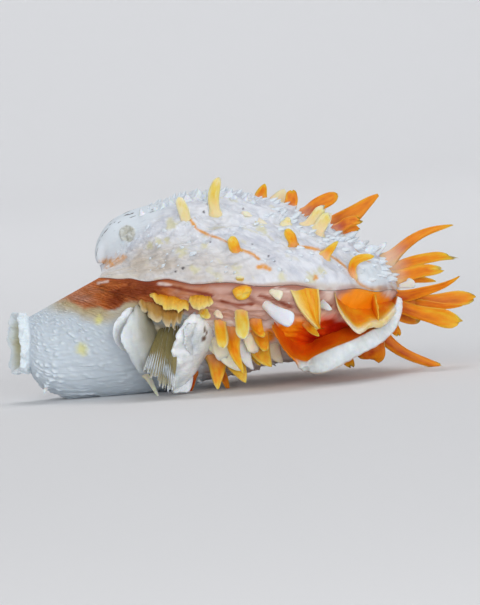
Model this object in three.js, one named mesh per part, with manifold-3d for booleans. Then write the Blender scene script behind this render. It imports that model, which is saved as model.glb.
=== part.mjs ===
import * as THREE from "three";
import { mergeVertices } from "three/addons/utils/BufferGeometryUtils.js";
import Module from "manifold-3d";

// Butler's thorny oyster, closed, standing on its lower valve. Millimetres, +Z up.
// It is first drawn in the hinge frame: the middle of the hinge line is the origin, X runs from the hinge to
// the ventral margin, Y across the shell and Z up through the upper valve. "Near" is the side at negative Y.
// The finished shell is then leaned over until it stands on its lowest points.
const wasm = await Module();
wasm.setup();

// Driving dimensions.
const valveLength = 57;
const valveWidth = 51;
const hingeLine = 27;
const valveGap = 0.3;
const commissureDip = -2.7;
const leanAcross = -3;
const leanForward = 5;
const floorLevel = -22.35;
const middleX = 25.1;
const middleY = -0.35;
const ribSpacing = 0.2;

// Half of the margin's outline, from the ventral end to the hinge's end, as shares of length and half width.
const halfOutline = [
  [1, 0], [0.977, 0.31], [0.906, 0.61], [0.79, 0.84], [0.64, 0.975], [0.48, 1],
  [0.325, 0.91], [0.195, 0.745], [0.105, 0.61], [0.044, 0.56], [0, hingeLine / valveWidth],
];

// Each growth stage is the margin at a smaller size, hung from a hinge line that moves away from the apex.
// tilt lists [stage, degrees], the stage's slope about its own hinge line.
const upper = {
  apex: [1, 3],
  side: 1,
  cavityDepth: 9.5,
  tilt: [
    [0.04, 160], [0.1, 106], [0.15, 84], [0.22, 62.5], [0.3, 48.5], [0.42, 37.5],
    [0.55, 26], [0.7, 15.5], [0.82, 8.8], [0.92, 3.6], [1, commissureDip],
  ],
  stages: [0.045, 0.09, 0.14, 0.2, 0.27, 0.35, 0.44, 0.52, 0.54, 0.61, 0.67, 0.69, 0.77, 0.87, 0.89,
    0.94, 0.985],
};
const lower = {
  apex: [-16.7, -9.1],
  side: -1,
  cavityDepth: 11.5,
  tilt: [
    [0.19, -90], [0.22, -88.5], [0.25, -85], [0.3, -74], [0.35, -57.5], [0.5, -33.8],
    [0.65, -22.4], [0.8, -16.6], [0.9, -12.5], [0.96, -8.7], [1, commissureDip],
  ],
  stages: [0.19, 0.23, 0.28, 0.34, 0.43, 0.52, 0.54, 0.61, 0.67, 0.69, 0.77, 0.87, 0.89, 0.94, 0.985],
};
const growthLedges = [0.52, 0.67, 0.87];

// Spines that can be told apart, as [x, z] of the root and the tip and the width across.
// reach is how far the tip comes toward the near side, where it isn't simply square to the valve.
// spoon widens the outer half, bow lifts the middle and gutter hollows the near face.
const upperSpines = [
  { root: [21.9, 12.4], tip: [22.2, 18.6], width: 2.1 },
  { root: [16.3, 10.5], tip: [15.2, 15], width: 1.8 },
  { root: [30, 14.3], tip: [31, 17.9], width: 1.8, far: true },
  { root: [33.1, 13.9], tip: [34.8, 16.5], width: 2.4, far: true },
  { root: [35.5, 12.9], tip: [36.3, 16.2], width: 2.2, far: true, spoon: true },
  { root: [38.8, 12.2], tip: [44.5, 16], width: 2.4, far: true, spoon: true },
  { root: [39.9, 9.5], tip: [42.6, 12.5], width: 2.6 },
  { root: [43.6, 8.9], tip: [52.8, 15.9], width: 4.2, far: true, bow: -0.2 },
  { root: [44.5, 9.1], tip: [49, 11], width: 2.2, far: true },
  { root: [45.4, 8], tip: [48.8, 9.3], width: 2.2, far: true },
  { root: [35.7, 6.7], tip: [35, 8.9], width: 1.5, reach: 3 },
  { root: [25.5, 4.8], tip: [24.7, 7.4], width: 1.7, reach: 2.5 },
  { root: [42.4, 4], tip: [44.7, 6.7], width: 1.4, reach: 2 },
  { root: [31, 1.5], tip: [33.1, 1], width: 1.6, reach: 3 },
  { root: [47.3, 0.8], tip: [51.9, 3.6], width: 4.5, reach: 2.5, spoon: true },
  { root: [27.6, 11.6], tip: [27.9, 13.1], width: 1.4 },
  { root: [30.6, 9.4], tip: [31.3, 10.8], width: 1.4 },
  { root: [18.5, 8.6], tip: [18.9, 10], width: 1.5 },
  { root: [50.4, 4.9], tip: [51.7, 6.3], width: 1.2, reach: 0.5 },
  { root: [51.9, 4.4], tip: [54.2, 6.7], width: 1.4, reach: 0.5 },
  { root: [7.4, 12.3], tip: [7.2, 14], width: 1.3 },
  { root: [11.9, 13.6], tip: [11.8, 15.6], width: 1.3 },
  { root: [16, 15], tip: [16, 17.1], width: 1.4 },
  { root: [24.8, 14.9], tip: [24.9, 16.9], width: 1.6 },
  { root: [28.2, 14.2], tip: [28.5, 16.2], width: 1.5 },
  { root: [54.5, 3.6], tip: [66.9, 10.1], width: 1.9, reach: -2, bow: 1.2 },
  { root: [55.7, 1.7], tip: [66.7, 4], width: 1.8, reach: -4, bow: 0.8 },
  { root: [56.2, 0.2], tip: [64.4, 1.6], width: 2.4, reach: 1.5 },
  { root: [56.2, -0.6], tip: [63.8, -0.6], width: 1.5, reach: -5 },
  { root: [55.9, -1], tip: [59.3, -1.5], width: 2.2, reach: 1 },
];
const lowerSpines = [
  { root: [56.2, -3.6], tip: [67.6, 0.2], width: 2, reach: 5, bow: -0.5 },
  { root: [56.2, -3.9], tip: [70.5, -3.8], width: 2.2, reach: -2.5, spoon: true },
  { root: [56.2, -4.7], tip: [68.6, -5.2], width: 1.4, reach: 3 },
  { root: [55.4, -4.9], tip: [67.6, -8.4], width: 2.8, reach: 4.5, spoon: true },
  { root: [55, -6.2], tip: [59.5, -7.4], width: 3.2, reach: -3 },
  { root: [52.8, -10.2], tip: [64.4, -16.9], width: 2.2, reach: -1.5, bow: -0.9, far: true },
  { root: [49.4, -10.5], tip: [52.2, -15.2], width: 4.6, reach: -3, spoon: true },
  { root: [45, -12.2], tip: [47.3, -16.6], width: 1.8, reach: -2 },
  { root: [54.2, -7.9], tip: [56.5, -10.8], width: 1.6, reach: -1 },
  { root: [23, -8], tip: [23.2, -12.9], width: 2.3 },
  { root: [25.4, -9.9], tip: [26, -17.3], width: 2.7, bow: 0.4 },
  { root: [26.4, -6.5], tip: [27, -11.2], width: 2.5 },
  { root: [26.6, -2.2], tip: [27.2, -4.2], width: 2.9, reach: 3, spoon: true },
  { root: [32.3, -2.1], tip: [33.6, -3.9], width: 1.9, reach: 2.5 },
  { root: [31.7, -5.3], tip: [35.6, -8.2], width: 2.9, reach: 5, spoon: true },
  { root: [30.2, -9], tip: [30.6, -11.6], width: 1.5 },
  { root: [31.3, -10.9], tip: [31.7, -13.8], width: 1.7 },
  { root: [30.4, -12.5], tip: [31.4, -16.3], width: 3.4, spoon: true },
  { root: [39.1, -4.4], tip: [41, -9.6], width: 5, reach: 6, gutter: true },
  { root: [38.8, -8.4], tip: [41, -10.9], width: 1.8, reach: 5 },
  { root: [21.1, -14.6], tip: [22.2, -20.6], width: 2.5 },
  { root: [26, -14.2], tip: [27.5, -19.2], width: 1.9 },
  { root: [19, -4.2], tip: [18.9, -6.6], width: 2.8, reach: 2.5 },
  { root: [23.6, -16.4], tip: [24, -21], width: 1.9, reach: 1 },
  { root: [17.6, -18], tip: [16.4, -22.2], width: 1.6, reach: -1 },
  { root: [33, -13.6], tip: [33.8, -16.2], width: 1.6, reach: -2 },
  { root: [9.1, -18.6], tip: [11, -22.9], width: 1.1, reach: 5 },
  { root: [15.4, -15.6], tip: [17.2, -20.9], width: 2.4, reach: -2, far: true },
];

// Rows of smaller thorns on the ribs of the far side and the underside: the rib's place across, the growth
// stages where they stand and how long they are at the margin.
const thornRows = [
  { valve: "upper_valve", across: 0.18, stages: [0.5, 0.66], length: 4 },
  { valve: "upper_valve", across: 0.35, stages: [0.46, 0.62, 0.78, 0.93], length: 7.5 },
  { valve: "upper_valve", across: 0.52, stages: [0.6, 0.76, 0.94], length: 6.5 },
  { valve: "upper_valve", across: 0.68, stages: [0.64, 0.82, 0.95], length: 5.5 },
  { valve: "upper_valve", across: -0.68, stages: [0.94], length: 3 },
  { valve: "lower_valve", across: 0.18, stages: [0.62, 0.78, 0.94], length: 7 },
  { valve: "lower_valve", across: 0.35, stages: [0.54, 0.7, 0.86, 0.96], length: 8.5 },
  { valve: "lower_valve", across: 0.52, stages: [0.46, 0.62, 0.8, 0.94], length: 7 },
  { valve: "lower_valve", across: 0.68, stages: [0.54, 0.72, 0.9], length: 6 },
  { valve: "lower_valve", across: 0.82, stages: [0.64, 0.84], length: 5 },
];

// Plates that stand off the lower valve. Each station is [x, z] on the wall and [x, z, reach] at the free edge.
const plates = {
  leaf: { thickness: 0.9, bow: 1.5, stations: [
    [[6.6, -4.6], [6.3, -4.9, 1.5]], [[8.6, -7.4], [3.6, -8, 6]], [[9.6, -10.4], [3.2, -11.4, 8]],
    [[9.8, -13.2], [5, -14.4, 8]], [[8.8, -16], [7.6, -17.8, 5]],
  ] },
  leafBack: { thickness: 0.8, bow: 0.6, stations: [
    [[5.4, -6], [4.6, -6.2, 1]], [[6, -9.6], [2.3, -9.6, 4]], [[6.4, -13], [3.2, -13.4, 4.5]],
    [[7, -15.4], [6, -16.4, 3]],
  ] },
  fanOuter: { thickness: 0.5, bow: 0.5, stations: [
    [[12.4, -10.6], [12.2, -11, 1]], [[12.2, -13.4], [11.6, -16, 6]], [[11.8, -15.6], [10.6, -20.4, 8]],
  ] },
  fanMiddle: { thickness: 0.5, bow: 0.4, stations: [
    [[13.6, -11], [13.4, -12, 2]], [[13.6, -13.8], [13.2, -17.2, 7]], [[13.4, -15.8], [12.6, -21, 8]],
  ] },
  boot: { thickness: 1.6, bow: 1.2, stations: [
    [[17.6, -7], [17.2, -7.4, 2]], [[20.4, -9], [14.6, -10, 6]], [[21, -12.6], [13.9, -13.6, 8.5]],
    [[20.2, -15.8], [14.9, -17.8, 9]], [[18.6, -17.6], [15.4, -21.4, 8]], [[17.4, -17.8], [17.6, -21.6, 6.5]],
  ] },
  fringe: { thickness: 0.8, bow: 0.6, stations: [
    [[9.6, -2.2], [9.5, -3.4, 2]], [[11.6, -2.6], [11.4, -5.3, 3.4]], [[13.6, -3], [14.2, -6, 4]],
    [[15.6, -3.4], [16.4, -6.1, 3.6]], [[17, -3.8], [17.2, -5, 2]],
  ] },
  amber: { thickness: 0.6, bow: 0.5, stations: [
    [[8.4, -4.6], [8.2, -5.6, 1.5]], [[10.4, -5], [10, -7.2, 3]], [[12.6, -5.4], [12.8, -9, 4]],
    [[14.6, -5.8], [14.4, -9.2, 3.4]], [[15.4, -6.2], [15.4, -7.2, 1.5]],
  ] },
  septum: { thickness: 0.8, bow: 0, stations: [
    [[51.6, -2.9], [51.7, -3.2, 1]], [[51.8, -4.4], [52, -6, 4]], [[52, -6.4], [52.4, -9, 6]],
  ] },
  pocketWall: { thickness: 0.9, bow: 0, stations: [
    [[41.6, -8.6], [41.4, -9, 1]], [[41.8, -10.2], [41.6, -11.6, 4]], [[42, -11.6], [42, -13.2, 6]],
  ] },
};

// The two cups at the ventral end. Each station is [x, z] of the free edge's upper and lower corners with
// their reach, then [x, z] of the upper and lower root on the wall.
const cups = {
  slab: [
    [[32.3, -8.6, 1.5], [32.4, -9.4, 1.5], [33, -8], [33.6, -9.6]],
    [[34, -12.2, 5], [34.2, -12.9, 5], [34.9, -10.4], [35.4, -12.9]],
    [[36.2, -14.7, 7.5], [36.4, -15.5, 7.5], [36.6, -12.2], [37.2, -14]],
    [[38.6, -15.6, 8.5], [37.9, -17, 8.5], [38.6, -12.8], [39.6, -14.2]],
    [[40.4, -14.6, 9], [40.3, -18, 9], [41, -11.8], [42, -13.4]],
    [[43.7, -13.1, 8.5], [44, -17, 8.5], [44, -10.4], [44.8, -12.5]],
    [[47.5, -11.6, 7.5], [48.4, -14.5, 7.5], [47.6, -9], [48, -10.9]],
    [[50.9, -9.9, 6.5], [52.4, -12.5, 6.5], [50.8, -7.7], [51, -9.3]],
    [[54, -8.3, 5.5], [55.4, -9.8, 5], [53.6, -6.2], [53.8, -7.5]],
    [[56.2, -5.9, 3.5], [57.2, -6.3, 3], [55.6, -4.6], [55.7, -5.4]],
    [[56.9, -3.6, 1], [57.4, -4.1, 1], [56.2, -3.4], [56.2, -4]],
  ],
  scoop: [
    [[44, -2.6, 1], [44, -3.1, 1], [44.8, -2.6], [45, -3.4]],
    [[44.6, -5.3, 4], [44.6, -6, 4], [45.6, -3.6], [46, -4.8]],
    [[46.4, -8.1, 6], [46.4, -8.8, 6], [47, -4.8], [47.2, -6.6]],
    [[48.2, -9.6, 6.5], [48.4, -10.4, 6.5], [48.6, -5.2], [48.8, -7.2]],
    [[50.7, -8.4, 6], [50.8, -9.4, 6], [50.8, -5.2], [51, -6.8]],
    [[52.8, -8, 5.5], [53, -9.2, 5], [52.6, -4.8], [52.8, -6]],
    [[55, -6, 4], [55.4, -6.9, 3.5], [54.2, -4], [54.4, -5]],
    [[56.6, -3.7, 1.5], [56.9, -4.3, 1.5], [55.9, -3.3], [56, -3.9]],
  ],
};

const radians = (degrees) => (degrees * Math.PI) / 180;
const clamp01 = (t) => Math.min(1, Math.max(0, t));

// A value between the stations [where, value], on a smooth curve through them.
function along(stations, where) {
  const last = stations.length - 1;
  if (where <= stations[0][0]) return stations[0][1];
  if (where >= stations[last][0]) return stations[last][1];
  const i = stations.findIndex((s) => s[0] > where) - 1;
  const slope = (a, b) => (stations[b][1] - stations[a][1]) / (stations[b][0] - stations[a][0]);
  const here = slope(Math.max(0, i - 1), i + 1);
  const next = slope(i, Math.min(last, i + 2));
  const span = stations[i + 1][0] - stations[i][0];
  const t = (where - stations[i][0]) / span;
  const a = stations[i][1];
  const b = stations[i + 1][1];
  return a + (b - a) * t * t * (3 - 2 * t)
    + span * t * (1 - t) * (here * (1 - t) - next * t);
}

// A point on the smooth curve through the points, at t from 0 to 1.
function onCurve(points, t) {
  const last = points.length - 1;
  const reach = clamp01(t) * last;
  const i = Math.min(last - 1, Math.floor(reach));
  const f = reach - i;
  const p = [points[Math.max(0, i - 1)], points[i], points[i + 1], points[Math.min(last, i + 2)]];
  return p[1].map((_, n) => {
    const [a, b, c, d] = p.map((q) => q[n]);
    return b + 0.5 * f * (c - a + f * (2 * a - 5 * b + 4 * c - d + f * (3 * (b - c) + d - a)));
  });
}

// The margin at full size: across runs from -1 at the near end of the hinge, by 0 at the ventral end, to 1.
function marginPoint(across) {
  const [u, v] = onCurve(halfOutline, Math.abs(across));
  return [u * valveLength, Math.sign(across) * v * valveWidth * 0.5];
}

// The smooth outer surface at a growth stage and a place across the ribs.
function grown(valve, stage, across) {
  const [u, v] = marginPoint(across);
  const slope = radians(along(valve.tilt, stage));
  const hingeX = valve.apex[0] * (1 - stage);
  const hingeZ = valve.apex[1] * (1 - stage);
  return new THREE.Vector3(
    hingeX + stage * u * Math.cos(slope),
    stage * v,
    hingeZ + stage * u * Math.sin(slope),
  );
}

function alongGrowth(valve, stage, across) {
  const step = 0.004;
  const inside = Math.min(stage, 1 - step);
  return grown(valve, inside + step, across).sub(grown(valve, inside, across)).normalize();
}

function outward(valve, stage, across) {
  const step = 0.004;
  const middle = Math.max(-1 + step, Math.min(1 - step, across));
  const alongMargin = grown(valve, stage, middle + step).sub(grown(valve, stage, middle - step));
  return alongGrowth(valve, stage, across).cross(alongMargin).multiplyScalar(valve.side).normalize();
}

// Ribs, growth ledges and a slow unevenness, as a height over the smooth surface. It dies out at the margin,
// so that both valves keep a plain rim where they meet, and the ribs die out toward the ends of the hinge.
function relief(valve, stage, across) {
  const besideHinge = THREE.MathUtils.smoothstep(Math.abs(across), 0.55, 0.85);
  const ribHeight = 0.8 * Math.cos((Math.PI * across) / ribSpacing) ** 2 * Math.sqrt(stage) * (1 - besideHinge);
  let ledge = 0;
  for (const at of growthLedges) {
    const before = at - stage;
    if (before > -0.001 && before < 0.09) ledge += 0.4 * (1 - before / 0.09) ** 2;
  }
  const uneven = 0.3 * Math.sin(9 * stage + 5 * across) * Math.sin(7 * across - 4 * stage);
  const beforeMargin = THREE.MathUtils.smoothstep(1 - stage, 0, 0.2);
  const fade = clamp01((1 - stage) / 0.03) * clamp01((1 - Math.abs(across)) / 0.08);
  return (ribHeight + ledge) * fade + (uneven - 0.4) * beforeMargin * (1 - besideHinge);
}

function skin(valve, stage, across) {
  const point = grown(valve, stage, across);
  if (stage < 1) point.addScaledVector(outward(valve, stage, across), relief(valve, stage, across));
  return point;
}

const outlineSteps = 40;
const hingeSteps = 4;

// One closed loop of a valve: round the margin, then back along the hinge line.
function closedRing(edgePoint) {
  const ring = [];
  for (let i = 0; i <= outlineSteps; i++) ring.push(edgePoint((2 * i) / outlineSteps - 1));
  const first = ring[0];
  const last = ring[outlineSteps];
  for (let i = 1; i < hingeSteps; i++) ring.push(last.clone().lerp(first, i / hingeSteps));
  return ring;
}

function ringCentre(ring) {
  const sum = new THREE.Vector3();
  for (const p of ring) sum.add(p);
  return sum.divideScalar(ring.length);
}

function aroundCentre(ring, scale, shift) {
  const centre = ringCentre(ring);
  return ring.map((p) => p.clone().sub(centre).multiplyScalar(scale).add(centre).add(shift));
}

// A closed solid through rings of equal count, with a fan over each end.
function loft(rings, tip) {
  const n = rings[0].length;
  const points = rings.flat();
  const faces = [];
  for (let r = 0; r + 1 < rings.length; r++) {
    for (let i = 0; i < n; i++) {
      const j = (i + 1) % n;
      const [a, b, c, d] = [r * n + i, r * n + j, (r + 1) * n + j, (r + 1) * n + i];
      faces.push(a, b, c, a, c, d);
    }
  }
  const start = points.push(ringCentre(rings[0])) - 1;
  const end = points.push(tip ?? ringCentre(rings[rings.length - 1])) - 1;
  const lastRing = (rings.length - 1) * n;
  for (let i = 0; i < n; i++) {
    const j = (i + 1) % n;
    faces.push(start, j, i);
    faces.push(end, lastRing + i, lastRing + j);
  }
  return solidFrom(points, faces);
}

function solidFrom(points, faces) {
  const loose = new THREE.BufferGeometry().setFromPoints(points);
  loose.setIndex(faces);
  const geometry = mergeVertices(loose, 1e-4);
  const triVerts = new Uint32Array(geometry.index.array);
  const vertProperties = new Float32Array(geometry.attributes.position.array);
  const made = new wasm.Manifold(new wasm.Mesh({ numProp: 3, vertProperties, triVerts }));
  if (made.volume() > 0) return made;
  for (let i = 0; i < triVerts.length; i += 3) {
    [triVerts[i + 1], triVerts[i + 2]] = [triVerts[i + 2], triVerts[i + 1]];
  }
  return new wasm.Manifold(new wasm.Mesh({ numProp: 3, vertProperties, triVerts }));
}

// The hollow inside a valve: a bowl under the margin's plane, level 0 at its mouth and 1 at its deepest point.
const cavityShare = 0.8;
const cavityMiddle = 27;
const cavityLevels = [0, 0.45, 0.8];
function cavityRing(valve, level) {
  const share = cavityShare * Math.sqrt(1 - level * level);
  const depth = valve.cavityDepth * level ** 1.4;
  const slope = radians(commissureDip);
  return closedRing((across) => {
    const [u, v] = marginPoint(across);
    const x = cavityMiddle + (u - cavityMiddle) * share;
    const lift = valve.side * (depth + valveGap / 2);
    return new THREE.Vector3(
      x * Math.cos(slope) - lift * Math.sin(slope),
      v * share,
      x * Math.sin(slope) + lift * Math.cos(slope),
    );
  });
}

function rimRing(valve) {
  const slope = radians(commissureDip);
  const lift = (valve.side * valveGap) / 2;
  const shift = new THREE.Vector3(-lift * Math.sin(slope), 0, lift * Math.cos(slope));
  return closedRing((across) => grown(valve, 1, across).add(shift));
}

function valveBody(valve, startRings) {
  const rings = [...startRings];
  for (const stage of valve.stages) rings.push(closedRing((across) => skin(valve, stage, across)));
  rings.push(rimRing(valve));
  for (const level of cavityLevels) rings.push(cavityRing(valve, level));
  return loft(rings);
}

// The broken collar round the scar where the shell was fixed to the rock.
function scarCollar() {
  const neck = closedRing((across) => skin(lower, lower.stages[0], across));
  const steps = [[0.2, 0.6], [0.6, -0.4], [0.84, -3.6], [1.05, -4.4], [1.17, -2.4], [1.07, -0.9]];
  return steps.map(([scale, dx], step) => {
    const ring = aroundCentre(neck, scale, new THREE.Vector3(dx, 0, 0));
    const centre = ringCentre(ring);
    ring.forEach((p, i) => {
      const turn = (2 * Math.PI * i) / ring.length;
      const wave = 0.5 * Math.sin(3 * turn + 1) + 0.35 * Math.sin(7 * turn + 2.2);
      if (step > 1 && step < 5) p.x += 0.9 * wave;
      if (step > 2) p.addScaledVector(p.clone().sub(centre).normalize(), 0.5 * wave);
    });
    return ring;
  });
}

// The stage and place across of the point that lies at x and z on the near or the far half of a valve.
function findOnValve(valve, x, z, side) {
  let best = { gap: Infinity };
  const consider = (stage, across) => {
    const p = grown(valve, stage, across);
    const gap = Math.hypot(p.x - x, p.z - z);
    if (gap < best.gap) best = { gap, stage, across };
  };
  for (let i = 0; i <= 50; i++) {
    for (let j = 0; j <= 50; j++) consider(0.2 + 0.016 * i, (side * j) / 50);
  }
  for (let span = 0.012; span > 0.0003; span /= 2) {
    const { stage, across } = best;
    for (let i = -2; i <= 2; i++) {
      for (let j = -2; j <= 2; j++) {
        const place = side * Math.min(0.98, Math.max(0, side * (across + span * j)));
        consider(Math.min(0.99, Math.max(0.2, stage + span * i)), place);
      }
    }
  }
  return best;
}

function onWall(valve, x, z, far) {
  const { stage, across } = findOnValve(valve, x, z, far ? 1 : -1);
  const normal = outward(valve, stage, across);
  const point = grown(valve, stage, across);
  return { point: new THREE.Vector3(x, point.y, z), normal };
}

const rootDepth = 1.4;

// A tapering thorn, wide along its broad axis and thinner across it, rooted inside the valve.
function thorn(root, tip, broad, width, { bow = 0, spoon = false } = {}) {
  const way = tip.clone().sub(root).normalize();
  const wide = broad.clone().addScaledVector(way, -broad.dot(way)).normalize();
  const thin = way.clone().cross(wide);
  const sections = spoon
    ? [[-rootDepth, 0.75], [0.4, 0.7], [0.85, 1]]
    : [[-rootDepth, 1.05], [0.45, 0.78], [0.88, 0.42]];
  const length = root.distanceTo(tip);
  const lift = new THREE.Vector3(0, 0, bow);
  const sides = width > 2 ? 5 : 4;
  const rings = sections.map(([t, scale]) => {
    const reach = t < 0 ? t : t * length;
    const centre = root.clone().addScaledVector(way, reach);
    if (t > 0) centre.addScaledVector(lift, 4 * t * (1 - t));
    const ring = [];
    for (let i = 0; i < sides; i++) {
      const turn = (2 * Math.PI * i) / sides;
      ring.push(centre.clone()
        .addScaledVector(wide, 0.5 * width * scale * Math.cos(turn))
        .addScaledVector(thin, 0.34 * width * scale * Math.sin(turn)));
    }
    return ring;
  });
  return loft(rings, tip);
}

function placedSpine(valve, spine) {
  const { point, normal } = onWall(valve, spine.root[0], spine.root[1], spine.far);
  const flatLength = Math.hypot(spine.tip[0] - spine.root[0], spine.tip[1] - spine.root[1]);
  const square = normal.y / Math.max(0.6, Math.hypot(normal.x, normal.z));
  const tipY = spine.reach === undefined ? point.y + 0.7 * flatLength * square : point.y - spine.reach;
  const tip = new THREE.Vector3(spine.tip[0], tipY, spine.tip[1]);
  const way = tip.clone().sub(point);
  const broad = new THREE.Vector3(-way.z, 0, way.x);
  const solid = thorn(point, tip, broad, spine.width, spine);
  if (!spine.gutter) return solid;
  const front = new THREE.Vector3(0.6, -1.6, -0.3);
  const hollow = thorn(point.clone().add(front), tip.clone().addScaledVector(way, 0.08).add(front), broad,
    spine.width * 0.66);
  return solid.subtract(hollow);
}

// A small number that looks random but is always the same for the same place.
const wobble = (n) => {
  const s = Math.sin(n * 127.1) * 43758.5453;
  return 2 * (s - Math.floor(s)) - 1;
};

function rowOfThorns(valve, row) {
  return row.stages.map((stage, i) => {
    const seed = 10 * row.across + i + row.stages[0];
    const across = row.across + 0.012 * wobble(seed);
    const root = grown(valve, stage, across);
    const growth = alongGrowth(valve, stage, across);
    const normal = outward(valve, stage, across);
    const sideways = growth.clone().cross(normal);
    const length = row.length * (0.4 + 0.6 * stage ** 3) * (1 + 0.2 * wobble(seed + 3));
    const tip = root.clone()
      .addScaledVector(normal, length * 0.62)
      .addScaledVector(growth, length * 0.72)
      .addScaledVector(sideways, length * 0.15 * wobble(seed + 7));
    return thorn(root, tip, sideways, 1.4 + 0.16 * length, { spoon: wobble(seed + 5) > 0.3 });
  });
}

// A thin plate from the wall to its free edge, bowed toward the ventral end and thinner at the edge.
function plate(valve, { stations, thickness, bow }) {
  const lines = stations.map(([foot, edge]) => {
    const wall = onWall(valve, foot[0], foot[1], false);
    const rooted = wall.point.clone().addScaledVector(wall.normal, -1);
    const free = new THREE.Vector3(edge[0], wall.point.y - edge[2], edge[1]);
    return { rooted, free };
  });
  const rings = lines.map(({ rooted, free }, i) => {
    const before = lines[Math.max(0, i - 1)];
    const after = lines[Math.min(lines.length - 1, i + 1)];
    const sweep = after.free.clone().add(after.rooted).sub(before.free).sub(before.rooted);
    const square = free.clone().sub(rooted).cross(sweep).normalize();
    if (square.x < 0) square.negate();
    const middle = rooted.clone().lerp(free, 0.5).addScaledVector(square, bow);
    const half = square.clone().multiplyScalar(thickness / 2);
    return [
      rooted.clone().add(half), middle.clone().add(half), free.clone().addScaledVector(half, 0.6),
      free.clone().addScaledVector(half, -0.6), middle.clone().sub(half), rooted.clone().sub(half),
    ];
  });
  return loft(rings);
}

// A shelf with a blunt free edge that runs round the ventral end and holds a cup behind it.
function cup(valve, stations) {
  const rings = stations.map(([edgeTop, edgeBottom, footTop, footBottom]) => {
    const high = onWall(valve, footTop[0], footTop[1], false);
    const low = onWall(valve, footBottom[0], footBottom[1], false);
    return [
      new THREE.Vector3(edgeTop[0], high.point.y - edgeTop[2], edgeTop[1]),
      new THREE.Vector3(edgeBottom[0], high.point.y - edgeBottom[2], edgeBottom[1]),
      low.point.addScaledVector(low.normal, -1.5),
      high.point.addScaledVector(high.normal, -1.5),
    ];
  });
  return loft(rings);
}

// The valve cavity stays clear of what is rooted in the walls.
function cavityBlock(valve) {
  return loft(cavityLevels.map((level) => cavityRing(valve, level)));
}

const upperGrowths = upperSpines.map((spine) => placedSpine(upper, spine));
const lowerGrowths = Object.values(plates).map((item) => plate(lower, item));
const ventralGrowths = [];
lowerGrowths.push(...Object.values(cups).map((item) => cup(lower, item)));
for (const spine of lowerSpines) {
  const group = spine.tip[0] > valveLength ? ventralGrowths : lowerGrowths;
  group.push(placedSpine(lower, spine));
}
for (const row of thornRows) {
  if (row.valve === "upper_valve") upperGrowths.push(...rowOfThorns(upper, row));
  else lowerGrowths.push(...rowOfThorns(lower, row));
}

// What grows on a valve stays on its own side of the margin's plane. Only past the ventral end do the lower
// valve's spines rise above it.
const dip = radians(commissureDip);
const marginUp = [-Math.sin(dip), 0, Math.cos(dip)];
const marginDown = [Math.sin(dip), 0, -Math.cos(dip)];
const upperValve = valveBody(upper, [])
  .add(wasm.Manifold.union(upperGrowths).trimByPlane(marginUp, valveGap / 2).subtract(cavityBlock(upper)));

// Resting on a floor wears the lowest points flat.
const lean = new THREE.Euler(radians(leanAcross), radians(leanForward), 0);
const uprighted = new THREE.Matrix4().makeRotationFromEuler(lean).transpose();
const floorUp = new THREE.Vector3(0, 0, 1).applyMatrix4(uprighted);
const lowerValve = valveBody(lower, scarCollar())
  .add(wasm.Manifold.union(lowerGrowths).trimByPlane(marginDown, valveGap / 2).subtract(cavityBlock(lower)))
  .add(wasm.Manifold.union(ventralGrowths).subtract(cavityBlock(lower)).subtract(upperValve))
  .trimByPlane(floorUp.toArray(), floorLevel);

function toMesh(name, solid, colour) {
  const { vertProperties, triVerts } = solid.getMesh();
  const geometry = new THREE.BufferGeometry();
  geometry.setAttribute("position", new THREE.BufferAttribute(vertProperties, 3));
  geometry.setIndex(new THREE.BufferAttribute(triVerts, 1));
  const mesh = new THREE.Mesh(
    geometry,
    new THREE.MeshStandardMaterial({ color: colour, roughness: 0.55, metalness: 0 }),
  );
  mesh.name = name;
  return mesh;
}

const shell = new THREE.Group();
shell.add(toMesh("upper_valve", upperValve, 0xe9e6ea));
shell.add(toMesh("lower_valve", lowerValve, 0xe2d3c8));
shell.rotation.copy(lean);
shell.position.set(-middleX, -middleY, -floorLevel);

export default shell;
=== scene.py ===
import itertools
import math
import bpy
import numpy as np
from mathutils import Matrix


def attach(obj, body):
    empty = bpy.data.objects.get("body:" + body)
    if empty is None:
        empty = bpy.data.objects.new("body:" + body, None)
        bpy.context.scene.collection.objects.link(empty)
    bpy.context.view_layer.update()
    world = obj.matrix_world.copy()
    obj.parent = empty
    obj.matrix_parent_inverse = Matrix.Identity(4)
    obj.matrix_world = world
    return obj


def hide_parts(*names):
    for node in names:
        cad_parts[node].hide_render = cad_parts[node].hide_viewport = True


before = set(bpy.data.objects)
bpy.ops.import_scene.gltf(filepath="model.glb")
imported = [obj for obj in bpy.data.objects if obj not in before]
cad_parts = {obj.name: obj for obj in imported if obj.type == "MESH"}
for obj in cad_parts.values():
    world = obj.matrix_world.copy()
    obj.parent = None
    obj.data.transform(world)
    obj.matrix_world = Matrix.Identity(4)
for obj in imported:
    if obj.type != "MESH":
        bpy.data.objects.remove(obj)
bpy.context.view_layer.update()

# The shell is drawn in millimetres in its hinge frame, as the solids are: X from the hinge to the ventral
# margin, Y across the shell, Z up through the upper valve. Then it is leaned over onto the floor.
pose = {
    "leanAcross": -3.0,              # degrees about X
    "leanForward": 5.0,              # degrees about Y
    "shift": (-25.1, 0.35, 22.35),   # mm, after the lean
}
millimetre = 0.001                   # m
leanX = math.radians(pose["leanAcross"])
leanY = math.radians(pose["leanForward"])
lean = np.array(Matrix.Rotation(leanX, 3, "X") @ Matrix.Rotation(leanY, 3, "Y"))


def toFrame(points):
    return (np.asarray(points, float) @ lean.T + pose["shift"]) * millimetre


# Camera: a long lens, a little above the shell and rolled, so that the commissure runs level
cameraView = {
    "target": (26.4, 0.0, -4.66),    # hinge frame, mm
    "distance": 1.0,                 # m
    "elevation": 3.0,                # degrees
    "roll": 5.0,
    "pictureHeight": 0.115,          # m seen from top to bottom at the target
    "sensor": 36,                    # mm
    "farthest": 20,                  # m
}


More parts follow.
